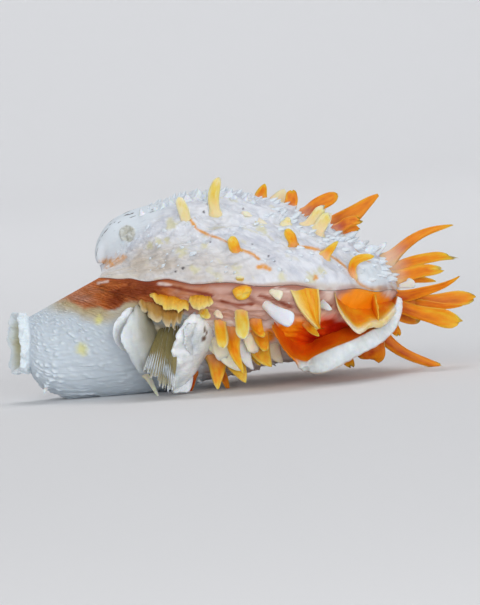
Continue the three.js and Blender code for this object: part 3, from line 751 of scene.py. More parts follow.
def lowerSkin(stage, across):
    r = lowerRelief
    base = grown(lower, stage, across)
    coarse, besideHinge, fade = coarseRelief(stage, across)
    band = smoothstep(aboveBand(base) + 0.7 * roughNoise(base * (0.4, 1, 1), 2.2, 17), -0.6, 0.8)
    band = band * smoothstep(base[..., 0], -9.5, -6)
    umbo = (1 - band) * smoothstep(base[..., 0], 16, 4)     # the rounded white end
    lumpy = umbo * smoothstep(roughNoise(base, 9.0, 27, 2) - 0.09 * base[..., 0], -0.5, 0.3)
    wanderAlong = 0.012 * flatNoise(stage * 14, across * 9, 71)
    wanderAcross = 0.035 * flatNoise(stage * 12, across * 8, 73)
    knobs = np.maximum(nodules(stage + wanderAlong, across + wanderAcross, *r["nodules"]), 0)
    knobs = knobs * smoothstep(stage, 0.2, 0.25)
    fine = nodules(stage, across, *r["smallNodules"])
    laminae = (stage * r["laminaCount"] + 1.3 * flatNoise(across * 12, stage * 6, 13)) % 1.0
    rough = roughNoise(base, 2.0, 31)
    fibre = flatNoise(stage * 30, across * 40, 33)
    height = coarse + fade * (r["nodule"] * knobs * lumpy + r["smallNodule"] * fine * umbo
                              + r["laminae"] * laminae ** 1.5 * np.maximum(band, 0.6 * (1 - umbo))
                              + r["fibre"] * fibre + r["rough"] * rough * (1.6 - umbo)
                              + r["lump"] * roughNoise(base * (0.7, 1, 1), 2.0, 37, 3) * (1 - umbo))
    base = base + outward(lower, stage, across) * height[..., None]
    base[..., 2] += marginWave(across) * smoothstep(stage, 0.9, 1.0)
    return base, {"band": band, "laminae": laminae, "knobs": np.maximum(knobs * lumpy, 0.3 * fine * umbo)}


# One valve's skin: rows of growth, columns round the margin and back along the hinge line
skinGrid = {"rows": 222, "nearColumns": 215, "farColumns": 150, "hingeColumns": 16}
# From the outer margin over the lip and into the hollow: share of the margin's outline, depth in mm
hollowForm = {"middle": 27, "levels": [(0.985, 0.0), (0.955, 0.35), (0.9, 0.9), (0.82, 1.8), (0.72, 4.0),
                                       (0.5, 7.0), (0.2, 8.6)]}


def commissureFrame():
    slope = math.radians(shellForm["commissureDip"])
    return (np.array([math.cos(slope), 0, math.sin(slope)]), np.array([0, 1, 0]),
            np.array([-math.sin(slope), 0, math.cos(slope)]))


def hollowRings(valve, across):
    alongAxis, acrossAxis, upAxis = commissureFrame()
    u, v = marginPoint(across)
    rings = []
    for share, depth in hollowForm["levels"]:
        lift = valve["side"] * (shellForm["visibleGap"] / 2 + depth)
        x = hollowForm["middle"] + (u - hollowForm["middle"]) * share
        wave = marginWave(across) * smoothstep(share, 0.7, 1.0)
        rings.append(x[:, None] * alongAxis + (v * share)[:, None] * acrossAxis
                     + (lift + wave)[:, None] * upAxis)
    return np.array(rings)


def valveMesh(name, valve, skin, masks, material, startRings):
    g = skinGrid
    across = np.concatenate([np.linspace(-1, 0, g["nearColumns"], endpoint=False),
                             np.linspace(0, 1, g["farColumns"])])
    s, a = np.meshgrid(np.linspace(valve["first"], 1, g["rows"]), across, indexing="ij")
    points, facts = skin(s, a)
    points[-1] += commissureFrame()[2] * valve["side"] * shellForm["visibleGap"] / 2
    values = {**masks(s, a, points, facts), "growth": s, "across": a}
    first, firstValues = startRings(points[0], across)
    hollow = hollowRings(valve, across)
    inHollow = {"growth": 1.0}       # every other value is 0 there
    for key, here in values.items():
        here = np.broadcast_to(here, s.shape)
        start = np.broadcast_to(np.asarray(firstValues.get(key, here[0]), float), first.shape[:2])
        values[key] = np.concatenate([start, here, np.full(hollow.shape[:2], inHollow.get(key, 0.0))])
    grid = np.concatenate([first, points, hollow])
    rows, columns = grid.shape[:2]
    share = np.linspace(0, 1, g["hingeColumns"])
    hinge = grid[:, -1:] * (1 - share)[None, :, None] + grid[:, :1] * share[None, :, None]
    hingeValues = {key: np.repeat(v[:, -1:], g["hingeColumns"], axis=1) for key, v in values.items()}
    hinge, hingeValues = finishHinge(valve, hinge, share, hingeValues)
    quads = np.concatenate([gridFaces(rows, columns),
                            gridFaces(rows, g["hingeColumns"], start=rows * columns)])
    if valve["side"] > 0:
        quads = quads[:, ::-1]
    attributes = {key: np.concatenate([values[key].ravel(), hingeValues[key].ravel()]) for key in values}
    points = np.concatenate([grid.reshape(-1, 3), hinge.reshape(-1, 3)])
    addMesh(name, points, [quads], attributes, material, valve)


hingeForm = {
    "groove": 0.5, "grooveWidth": 0.8, "lines": 0.07,      # lower valve, mm
    "into": (0.45, 0, -0.6),                               # the way that its groove and lines go in
    "swell": 1.3, "swellUntil": 0.69,                      # upper valve
    "out": (1.0, 0, 0.2),
}


def finishHinge(valve, hinge, share, values):
    # Between the beak and the hinge line: a flat area with growth lines and a narrow groove in its middle on
    # the lower valve, a rounded back on the upper one
    h = hingeForm
    width = np.linalg.norm(hinge[:, -1] - hinge[:, 0], axis=-1)[:, None]
    if valve["side"] > 0:
        young = np.clip(1 - (values["growth"] - valve["first"]) / h["swellUntil"], 0, 1)
        swell = h["swell"] * young * np.sin(math.pi * share) ** 0.7 * smoothstep(width, 0.8, 2.5)
        return hinge - swell[..., None] * np.array(h["out"]), values
    groove = np.exp(-((share - 0.5) * width / h["grooveWidth"]) ** 2)
    row = np.arange(len(hinge))
    lines = h["lines"] * flatNoise(row * 0.45, 0.0 * row, 91)[:, None] * np.sin(share * math.pi)
    dip = (groove * h["groove"] * smoothstep(width, 2, 8) + lines) * smoothstep(
        1 - np.abs(2 * share - 1), 0, 0.15)
    painted = {"band": 0.55 * values["band"], "stripe": 0.5 * values["stripe"], "flake": 0 * dip,
               "ochre": 0.5 * values["band"] + 0.5 * dip}
    return hinge + dip[..., None] * np.array(h["into"]), {**values, **painted}


def beakCap(neck, across):
    centre = neck.mean(axis=0)
    return np.array([centre + (neck - centre) * share for share in (0.02, 0.5)]), {}


upperPaint = {                       # on the near side: picture x, y, and for spots the radius in pixels
    "lines": [[(191, 221), (197, 230), (209, 236), (221, 240), (232, 246), (243, 251), (254, 256),
               (258, 260)],
              [(289, 243), (298, 247), (310, 249), (323, 253), (333, 259), (343, 267), (350, 276)]],
    "lineWidth": 2.1,
    "stainSpots": [(106, 263, 4.4), (112, 262, 4), (119, 260, 4), (124, 259, 3), (103, 266, 3)],
    "orangeSpots": [(258, 268, 2.2), (261, 267.6, 2.4), (265, 268.4, 2.6), (269, 270, 2), (314, 278, 2)],
    "oliveSpots": [(183, 253, 4), (205, 247, 3), (160, 243, 3), (151, 246, 3), (168, 241, 2.5),
                   (196, 270, 4), (172, 225, 5), (246, 216, 3), (262, 230, 4), (236, 270, 4),
                   (281, 277, 4), (311, 278, 5), (320, 272, 4)],
    "pits": [(204, 213, 1.2), (243, 210, 0.9), (268, 257, 1.1), (274, 262, 0.9), (177, 272, 1.0),
             (184, 269, 1.4), (211, 243, 0.8), (252, 245, 0.8)],
    # orange lines on the ribs of the far side: place across and the stage where each starts
    "linedRibs": [(-0.155, 0.62), (0.125, 0.5), (0.265, 0.56), (0.405, 0.6)],
    "ribLineWidth": 0.0055,
}
picture = {"hingeAt": (101, 278), "mmPerPixel": 0.19}


def fromPicture(x, y):
    return ((x - picture["hingeAt"][0]) * picture["mmPerPixel"],
            (picture["hingeAt"][1] - y) * picture["mmPerPixel"])


def toPicture(points):
    return (picture["hingeAt"][0] + points[..., 0] / picture["mmPerPixel"],
            picture["hingeAt"][1] - points[..., 2] / picture["mmPerPixel"])


def spotMask(points, spots, near, soft=0.35, ragged=0.0):
    mask = np.zeros(points.shape[:-1])
    for x, y, radius in spots:
        cx, cz = fromPicture(x, y)
        reach = radius * picture["mmPerPixel"]
        d = np.hypot(points[..., 0] - cx, points[..., 2] - cz)
        if ragged:
            d = d + ragged * reach * roughNoise(points, reach, 57)
        mask = np.maximum(mask, smoothstep(d, reach * (1 + soft), reach * (1 - soft)) * near)
    return mask


def lineMask(points, ways, near, width):
    # Uneven lines drawn through picture places, width in pixels
    px, py = toPicture(points)
    mask = np.zeros(points.shape[:-1])
    wander = 0.35 * width * roughNoise(points, 1.5, 41, 2)
    for way in ways:
        for (x0, y0), (x1, y1) in zip(way[:-1], way[1:]):
            dx, dy = x1 - x0, y1 - y0
            t = np.clip(((px - x0) * dx + (py - y0) * dy) / (dx ** 2 + dy ** 2), 0, 1)
            away = np.hypot(px - x0 - t * dx, py - y0 - t * dy) + wander
            mask = np.maximum(mask, smoothstep(away, width, 0.1 * width) * near)
    return mask


def upperMasks(s, a, points, facts):
    p = upperPaint
    near = (a < 0.02) * 1.0
    x, level = points[..., 0], aboveMargin(points)
    line = lineMask(points, p["lines"], near, p["lineWidth"])
    for rib, start in p["linedRibs"]:
        wander = 0.006 * flatNoise(s * 14, 0 * s + rib * 9, 41)
        here = np.exp(-((a - rib - wander) / p["ribLineWidth"]) ** 2)
        patchy = smoothstep(flatNoise(s * 10, 0 * s + rib * 31, 43), -0.45, 0.1)
        here = here * patchy * smoothstep(s, start, start + 0.04) * smoothstep(s, 0.985, 0.96)
        line = np.maximum(line, here)
    orange = spotMask(points, p["orangeSpots"], near, 0.6, 0.5)
    stain = spotMask(points, p["stainSpots"], near, 0.75, 0.6) * (0.7 + 0.45 * roughNoise(points, 0.8, 55, 2))
    orange = np.maximum(orange, 0.95 * np.clip(stain, 0, 1))
    line = np.maximum(line * (1 - facts["raised"]), np.maximum(orange, 0.9 * facts["raisedEdge"]))
    # beige toward the margin, in patches
    toMargin = smoothstep(level + 0.12 * (x - 14), 10.5, 2.0) * smoothstep(x, 42, 14)
    toMargin = toMargin * smoothstep(x - 1.25 * points[..., 2] + 0.75, -1, 1.5)
    patches = smoothstep(roughNoise(points * (0.35, 1, 1), 2.6, 47), -0.7, 0.5)
    beige = np.maximum(toMargin * (0.45 + 0.55 * patches), 0.8 * smoothstep(level, 1.6, 0.5) * patches)
    umbo = smoothstep(s, 0.42, 0.26) * smoothstep(np.abs(a), 0.78, 0.55)
    olive = spotMask(points, p["oliveSpots"], near, 0.6, 0.7) * 0.8
    olive = np.maximum(olive, 0.45 * smoothstep(flatNoise(s * 16, a * 40, 53), 0.55, 0.8) * facts["ridged"])
    bored = smoothstep(flatNoise(s * 60, a * 26, 59, 2), 0.52, 0.62) * smoothstep(s, 0.36, 0.24)
    bored = bored * smoothstep(np.abs(a + 0.12), 0.3, 0.16)
    return {"ridged": facts["ridged"], "scar": facts["scar"] * (0.75 + 0.25 * roughNoise(points, 0.7, 45, 2)),
            "ribLine": line, "beige": beige * (1 - facts["raised"]),
            "umbo": np.maximum(umbo, facts["raised"]), "olive": olive,
            "specks": np.maximum(bored * 0.85, spotMask(points, p["pits"], near, 0.5)),
            "raised": facts["small"], "marginLine": smoothstep(s, 0.985, 0.998) * 0.55 * smoothstep(
                roughNoise(points, 2.2, 49, 2), -0.8, 0.4)}


lowerPaint = {                       # spots: picture x, y, radius in pixels
    "lemonSpots": [(100, 320, 4), (83, 349, 5.5)],
    "flakeLines": [[(100, 283.5), (109, 282)], [(275, 289), (291, 292)], [(160, 284), (172, 285)]],
    "flakeSpots": [(327, 294, 6), (388, 294, 6), (250, 345, 9), (262, 358, 9), (274, 352, 9), (290, 354, 8),
                   (240, 352, 6)],
    # dark lines in the band; the short one from (316, 301) to (328, 306) is painted shadow
    "stripeAndShadowLines": [[(146, 283), (165, 286), (182, 289), (198, 293), (212, 296)],
                    [(259, 296), (270, 299), (281, 303), (290, 307)], [(316, 301), (328, 306)],
                    [(222, 301), (238, 305), (252, 304)]],
    # painted shade on the wall between the leaf and the fan
    "paintedShadeSpots": [(160, 338, 14), (168, 350, 10)],
    "glowSpots": [(347, 303, 11), (360, 302, 14), (373, 302, 13), (385, 307, 10), (300, 335, 19),
                  (322, 332, 18), (338, 332, 14), (310, 345, 14), (285, 330, 10), (268, 335, 7),
                  (256, 330, 6)],
    # next two: deeper orange of the lower pocket, partly its own colour and partly painted shade, then
    # painted shadow in its darkest corners
    "deepOrangeAndShadeSpots": [(310, 338, 16), (326, 332, 16), (340, 330, 14), (310, 348, 12)],
    "pocketShadowSpots": [(334, 328, 13), (314, 338, 9)],
}


def lowerMasks(s, a, points, facts):
    p = lowerPaint
    near = (a < 0.02) * 1.0
    x = points[..., 0]
    band = facts["band"] * (1 - 0.25 * smoothstep(x, 20, 40))
    warmth = 0.42 + 0.5 * smoothstep(x, -3, 4) * smoothstep(x, 18, 9) - 0.4 * smoothstep(x, 8, 24)
    warmth = warmth + 0.2 * roughNoise(points * (0.3, 1, 1), 1.4, 61)
    stripe = facts["band"] * smoothstep(np.abs(facts["laminae"] - 0.5), 0.2, 0.05) * smoothstep(
        flatNoise(s * 20, a * 7, 63), -0.1, 0.5)
    # The listed lines: stripes of the band, one of them painted shadow
    stripe = np.maximum(0.65 * stripe, lineMask(points, p["stripeAndShadowLines"], near, 3.0))
    ochre = smoothstep(aboveBand(points), -3.4, -0.4) * smoothstep(x, 26, 12) * smoothstep(
        roughNoise(points, 5.0, 65, 2), -0.9, 0.3) * smoothstep(x, -12, -6)
    flakes = np.maximum(spotMask(points, p["flakeSpots"], near, 0.7, 0.4),
                        lineMask(points, p["flakeLines"], near, 2.4))
    return {"ridged": 0.4 + 0.1 * facts["band"], "band": band, "warmth": warmth,
            # Painted shade: the wall between the leaf and the fan is painted ochre where it lies in shade
            "ochre": np.maximum(ochre, spotMask(points, p["paintedShadeSpots"], near, 0.5)),
            "body": smoothstep(x + 1.5 * roughNoise(points, 4.0, 69, 2), 17, 24),
            "stripe": np.maximum(stripe, 0.7 * smoothstep(s, 0.985, 0.998)), "flake": 0.8 * flakes,
            "glow": spotMask(points, p["glowSpots"], near, 0.35, 0.2),
            # Deep red in the pockets: partly their own colour, partly painted shade and shadow
            "glowDepth": 0.4 * spotMask(points, p["deepOrangeAndShadeSpots"], near, 0.3, 0.2)
            + 0.6 * spotMask(points, p["pocketShadowSpots"], near, 0.7),
            "lemon": 0.7 * spotMask(points, p["lemonSpots"], near, 0.7, 0.3), "knobs": facts["knobs"],
            "scar": 0.0 * s}


collarForm = {
    # from the scar's middle out over the rim to the neck: size against the neck, mm along X
    "steps": [(0.01, 0.5), (0.6, -0.4), (0.84, -3.6), (1.02, -4.4), (1.07, -2.4), (1.03, -0.9)],
    "between": 5, "rough": 0.42, "broken": 0.7, "outward": 0.6,
    "farShare": 0.34,                # the rim stands out more on the far side
    # where the hollow behind the rim is painted with the scar colour as shade, and how far
    "hollowShadeAt": (18, 345), "hollowShadeReach": (5.5, 22),       # picture, pixels
}


def scarCollar(neck, across):
    # The broken rim round the scar where the shell was fixed to the rock
    c = collarForm
    hingeSpan = neck[:1] - neck[-1:]
    ring = np.concatenate([neck, neck[-1:] + hingeSpan * np.array([[0.25], [0.5], [0.75]])])
    centre = ring.mean(axis=0)
    last = len(c["steps"]) - 1
    steps = onCurve(c["steps"], np.linspace(0, 1, len(c["steps"]) * c["between"]))
    levels = np.arange(len(steps)) / (len(steps) - 1) * last
    turn = math.pi * (across + 1)
    wave = 0.5 * np.sin(3 * turn + 1) + 0.35 * np.sin(7 * turn + 2.2)
    acrossNeck = (neck - centre)[:, 1]
    farther = 1 - c["farShare"] + c["farShare"] * acrossNeck / np.abs(acrossNeck).max()
    rings = []
    for level, (scale, dx) in zip(levels, steps):
        points = (neck - centre) * scale + centre
        points[:, 0] += dx * (farther if dx < 0 else 1)
        edge = smoothstep(level, 1.2, 2.2) * smoothstep(level, 5.0, 4.2)
        points[:, 0] += c["broken"] * wave * edge
        points += unit(points - centre) * (c["outward"] * wave * smoothstep(level, 2.2, 3.0))[:, None] * edge
        coarse = c["rough"] * smoothstep(scale, 0.1, 0.5)
        points += unit(points - centre) * (coarse * roughNoise(points, 1.3, 83))[:, None]
        rings.append(points)
    rings = np.array(rings)
    inner = np.linspace(1, 0, len(rings))[:, None] + 0 * across[None]
    # The scar mask: the scar face in the middle, and painted shade in the hollow behind the rim
    away = 0
    for place, middle, reach in zip(toPicture(rings), c["hollowShadeAt"], c["hollowShadeReach"]):
        away = away + ((place - middle) / reach) ** 2
    scar = np.maximum(smoothstep(inner + 0.1 * roughNoise(rings, 1.6, 87), 0.5, 0.9),
                      0.85 * np.exp(-away) * smoothstep(inner, 0.46, 0.6))
    clean = {key: 0 * inner for key in ("band", "body", "stripe", "flake", "glow", "lemon", "ochre")}
    return rings, {**clean, "scar": scar, "knobs": 1 + 0 * inner}


valveMesh("upperSkin", upper, upperSkin, upperMasks, upperShell, beakCap)
valveMesh("lowerSkin", lower, lowerSkin, lowerMasks, lowerShell, scarCollar)
print("valve skins made")

# Spines. root and tip are [x, z] in the hinge frame, reach is how far the tip comes toward the near side.
# The tone runs from white at 0 by yellow at 0.3 to deep orange at 1.
def spine(root, tip, width, kind, shade, **more):
    return dict(root=root, tip=tip, width=width, kind=kind, tone=shade, **more)


upperSpines = [
    spine((21.8, 12.2), (22.4, 18.7), 2.2, "blunt", 0.19, bow=(-0.5, 0), rim=1.0, coat=0.6, chalk=0.5),
    spine((16.5, 10.3), (15.0, 15), 2.1, "blunt", 0.16, rim=1.0, coat=0.8, chalk=0.6),
    spine((30, 13.6), (31.1, 18.0), 3.0, "thorn", 0.46, far=True, rootTone=0.45, coat=0.5),
    spine((33.0, 12.6), (34.9, 17.0), 4.4, "jag", 0.14, far=True, rootTone=0.45, coat=1.2, chalk=0.9),
    spine((35.7, 12.9), (36.3, 16.4), 2.6, "ragged", 0.56, far=True),
    spine((38.8, 12.0), (44.9, 15.8), 2.8, "blunt", 0.56, far=True, chalk=0.2),
    spine((39.3, 9.4), (42.0, 12.9), 2.6, "ragged", 0.17, rootTone=0.45, coat=0.9, rim=0.9),
    spine((40.9, 8.6), (43.2, 11.9), 2.6, "ragged", 0.17, rootTone=0.45, coat=0.9, rim=0.9),
    spine((43.0, 8.6), (52.8, 15.9), 4.3, "blade", 0.6, far=True, bow=(0, -0.2), chalk=0.2),
    spine((44.5, 9.1), (49, 11), 2.2, "ragged", 0.64, far=True, chalk=0.2),
    spine((45.4, 8), (48.8, 9.3), 2.4, "ragged", 0.56, far=True, chalk=0.2),
    spine((36.4, 6.0), (34.9, 8.9), 1.9, "blunt", 0.36, reach=0.9, chalk=0.3, rootTone=0.7),
    spine((25.8, 4.7), (24.6, 7.5), 2.1, "blunt", 0.34, reach=0.9, chalk=0.3, rootTone=0.7),
    spine((42.2, 3.9), (44.7, 6.7), 1.8, "thorn", 0.32, reach=0.8, chalk=0.4, rootTone=0.5),
    spine((47.5, 0.2), (51.3, 3.9), 1.7, "blunt", 0.4, reach=1.9, bow=(-1.7, 0.7), rim=0.4, chalk=0.35),
    spine((26.9, 12.0), (28.7, 11.3), 1.0, "blunt", 0.1, reach=0.0, chalk=0.5, rootTone=0.5),
    spine((29.9, 10.6), (31.7, 8.7), 1.2, "blunt", 0.1, reach=0.0, chalk=0.5, rootTone=0.5),
    spine((35.2, 10.3), (35.4, 11.4), 1.4, "icicle", 0.14, reach=0.4, chalk=0.5),
    spine((17.5, 10.4), (19.8, 8.0), 1.8, "blunt", 0.24, reach=0.0, chalk=0.5, rootTone=0.6),
    spine((26.4, -0.4), (26.4, 0.0), 1.6, "blunt", 0.2, reach=1.2),
    spine((48.4, 5.6), (49.5, 7.0), 1.5, "thorn", 0.0, reach=0.5),
    spine((50.2, 4.7), (51.6, 6.2), 1.4, "thorn", 0.0, reach=0.5),
    spine((51.9, 4.4), (54.2, 6.7), 1.6, "thorn", 0.0, reach=0.5),
]
ridgeJags = [((7.9, 12.1), (7.6, 13.2), 0.88), ((10.4, 13), (10.2, 13.6), 0.72),
             ((12, 13.4), (12.0, 14.4), 0.88), ((13.4, 13.9), (13.2, 14.8), 1),
             ((14.9, 14.4), (14.9, 15.3), 0.8), ((16.5, 14.8), (16.4, 15.8), 1.2),
             ((18.6, 15.2), (18.8, 16.8), 1.5), ((19.6, 15.2), (20.0, 16.5), 1),
             ((21, 15.2), (21.2, 15.9), 0.96), ((24.3, 14.6), (24.5, 16.4), 2.1),
             ((25.4, 14.4), (25.5, 15.6), 1.6), ((27.4, 14.2), (27.7, 15.4), 1.1),
             ((28.8, 13.9), (29.0, 14.8), 1)]
upperSpines += [spine(root, tip, width, "jag", 0.0) for root, tip, width in ridgeJags]
upperSpines += [      # at the ventral end
    spine((54.5, 3.4), (66.9, 10.1), 2.3, "thorn", 0.54, reach=-2, bow=(0, 1.2), chalk=0.5),
    spine((55.4, 1.5), (66.7, 4), 2.2, "ragged", 0.5, reach=-4, bow=(0, 0.8), chalk=0.4),
    spine((55.8, 0.1), (64.4, 1.6), 2.7, "ragged", 0.5, reach=1.5, chalk=0.4),
    spine((56.0, -0.5), (63.8, -0.6), 2.0, "thorn", 0.5, reach=-5, chalk=0.3),
    spine((55.9, -1), (59.3, -1.5), 2.2, "ragged", 0.05, reach=1),
]
lowerSpines = [
    spine((55.6, -3.6), (67.6, 0.2), 2.4, "thorn", 0.6, reach=5, bow=(0, -0.5)),
    spine((55.6, -3.9), (70.5, -3.8), 2.9, "spoon", 0.55, reach=-2.5),
    spine((55.6, -4.7), (68.2, -5.2), 2.4, "thorn", 0.66, reach=3),
    spine((55.2, -4.9), (67.6, -8.4), 3.4, "spoon", 0.54, reach=4.5),
    spine((55, -5.8), (60.2, -7.2), 4.2, "ragged", 0.62, reach=-3),
    spine((52.8, -10.2), (64.6, -16.7), 2.5, "tail", 0.6, reach=-1.5, bow=(0, -1.1), far=True),
    spine((49.6, -9.6), (51.6, -15.3), 6.4, "ragged", 0.78, reach=-1),
    spine((45, -12.2), (47.3, -16.6), 2.4, "ragged", 0.55, reach=-2),
    spine((54.2, -7.9), (56.5, -10.8), 2.0, "ragged", 0.55, reach=-1),
    spine((22.7, -8.1), (23.3, -13.0), 2.4, "blunt", 0.32, rim=0.9),
    spine((25.1, -9.6), (27.1, -17.8), 3.1, "jag", 0.42, bow=(-0.5, 0.3), rim=0.8),
    spine((26.7, -6.3), (27.0, -11.3), 2.7, "blunt", 0.22, rim=1.0),
    spine((26.8, -2.5), (26.9, -3.0), 3.4, "ball", 0.46, reach=2.0, rim=0.15, rootTone=0.8),
    spine((32.2, -2.6), (34.2, -3.5), 1.9, "tongue", 0.04, reach=0.9, coat=3, chalk=0.9, rootTone=0.2),
    spine((31.2, -5.0), (36.2, -8.1), 3.0, "tongue", 0.0, reach=4.2),
    spine((19.6, -6.3), (20.9, -7.3), 1.9, "icicle", 0.22, reach=1.6),
    spine((22.2, -6.5), (23.2, -7.5), 1.3, "icicle", 0.05, reach=1.0, coat=3, chalk=0.9, rootTone=0.5),
    spine((22.0, -12.4), (26.4, -17.4), 3.2, "jag", 0.06, reach=0.5, coat=1.5, chalk=0.9, rootTone=0.12),
    spine((22.6, -11.6), (23.4, -15.2), 3.2, "ragged", 0.06, reach=-0.5, coat=1.5, chalk=0.9, rootTone=0.2),
    spine((26.8, -12.6), (28.9, -17.2), 2.6, "jag", 0.03, reach=0.1, coat=3, chalk=0.7, rootTone=0.02),
    spine((28.2, -11.0), (29.2, -13.8), 2.6, "ragged", 0.05, reach=0.3, coat=3, chalk=0.8, rootTone=0.25),
    spine((29.2, -8.2), (30.9, -10.9), 2.2, "icicle", 0.48),
    spine((30.2, -10.2), (31.3, -13.6), 2.7, "icicle", 0.44),
    spine((29.9, -12.6), (32.3, -16.6), 3.8, "jag", 0.36, rim=0.8),
    spine((29.2, -13.6), (30.2, -16.4), 2.4, "jag", 0.36, rim=0.8),
    spine((32.4, -13.0), (34.4, -16.0), 2.6, "jag", 0.05, reach=-1.0, coat=3, chalk=0.8, rootTone=0.25),
    spine((41.5, -4.9), (43.4, -5.9), 1.7, "thorn", 0.0, reach=2.5),
    spine((38.8, -8.2), (41, -10.9), 1.8, "thorn", 0.42, reach=5),
    spine((22.0, -15.0), (22.3, -20.9), 3.4, "jag", 0.4, rim=0.9),
    spine((25.2, -14.6), (27.5, -19.6), 4.0, "jag", 0.36, rim=0.8),
    spine((22.6, -17.4), (24.3, -21.3), 1.6, "thorn", 0.62, reach=1.5, bow=(0.3, 0)),
    spine((17.6, -18), (16.4, -22.0), 1.6, "thorn", 0.85, reach=-1),
    spine((8.7, -18.4), (11.2, -22.6), 1.2, "thorn", 0.1, reach=4.4, bow=(0.3, 0.3)),
    spine((-10.4, -21.0), (-10.8, -22.2), 0.6, "jag", 0.0, reach=0.2),
    spine((15.4, -15.6), (16.8, -20.4), 2.4, "thorn", 0.5, reach=-2, far=True),
]
# Each kind has its width along the spine from root to tip, how thick it is against its width, how deep its
# channel is and how ragged its end.
spineKinds = {
    "thorn": dict(cup=0.25, width=[(0, 1.1), (0.12, 1.0), (0.5, 0.72), (0.85, 0.38), (1, 0.12)]),
    "blunt": dict(ragged=0.04,
                  width=[(0, 0.85), (0.15, 0.92), (0.5, 1.0), (0.8, 0.84), (0.93, 0.6), (1, 0.2)]),
    "ball": dict(thick=0.75, width=[(0, 0.9), (0.3, 1.05), (0.7, 1.0), (0.9, 0.68), (1, 0.2)]),
    "spoon": dict(thick=0.36, cup=0.35, ragged=0.08,
                  width=[(0, 0.9), (0.15, 0.74), (0.5, 0.82), (0.8, 1.02), (0.93, 0.85), (1, 0.4)]),
    "tongue": dict(thick=0.26, cup=-0.1,
                   width=[(0, 0.55), (0.25, 0.72), (0.6, 0.95), (0.85, 1.0), (0.95, 0.82), (1, 0.45)]),
    "icicle": dict(width=[(0, 1.15), (0.3, 1.0), (0.65, 0.72), (0.88, 0.5), (0.96, 0.34), (1, 0.12)]),
    "jag": dict(width=[(0, 1.15), (0.35, 0.86), (0.7, 0.5), (0.92, 0.22), (1, 0.05)]),
    "tail": dict(ragged=0.05, width=[(0, 1.1), (0.3, 0.85), (0.7, 0.66), (0.92, 0.52), (1, 0.3)]),
    "ragged": dict(thick=0.36, cup=0.32, ragged=0.22,
                   width=[(0, 1.05), (0.15, 0.95), (0.5, 0.92), (0.8, 0.8), (0.95, 0.55), (1, 0.25)]),
    "blade": dict(cup=0.3, width=[(0, 1.1), (0.2, 1.0), (0.5, 0.8), (0.85, 0.42), (1, 0.16)]),
}
spineForm = {
    "rings": 20, "around": 14,
    "sunk": 1.4,                     # mm that the root is sunk into the skin
    "square": 0.3, "mostSquare": 1.3, "toTip": 0.42,     # where the line bends: share, mm, share
    "thick": 0.46, "rootThick": 0.7, "cup": 0.15, "ragged": 0.03,
    # unless a row says otherwise
    "row": dict(bow=(0, 0), flare=0.2, rim=0.4, rootTone=0.1, coat=0.34, chalk=0.6),
}


def spineLine(root, tip, normal, bow):
    # The middle line from the sunk root to the tip: it leaves the wall squarely and bends to its tip
    f = spineForm
    length = np.linalg.norm(tip - root)
    along = 0.5 - 0.5 * np.cos(math.pi * np.linspace(0, 1, f["rings"] - 2) ** 0.9)
    along = np.concatenate([[-f["sunk"] / length, -0.4 * f["sunk"] / length], along])
    over = np.clip(along, 0, 1)[:, None]
    control = root + normal * min(f["square"] * length, f["mostSquare"]) + (tip - root) * f["toTip"]
    centre = (1 - over) ** 2 * root + 2 * over * (1 - over) * control + over ** 2 * tip
    centre = centre + np.minimum(along, 0)[:, None] * length * normal
    return along, centre + 4 * over * (1 - over) * np.array([bow[0], 0, bow[1]]), length


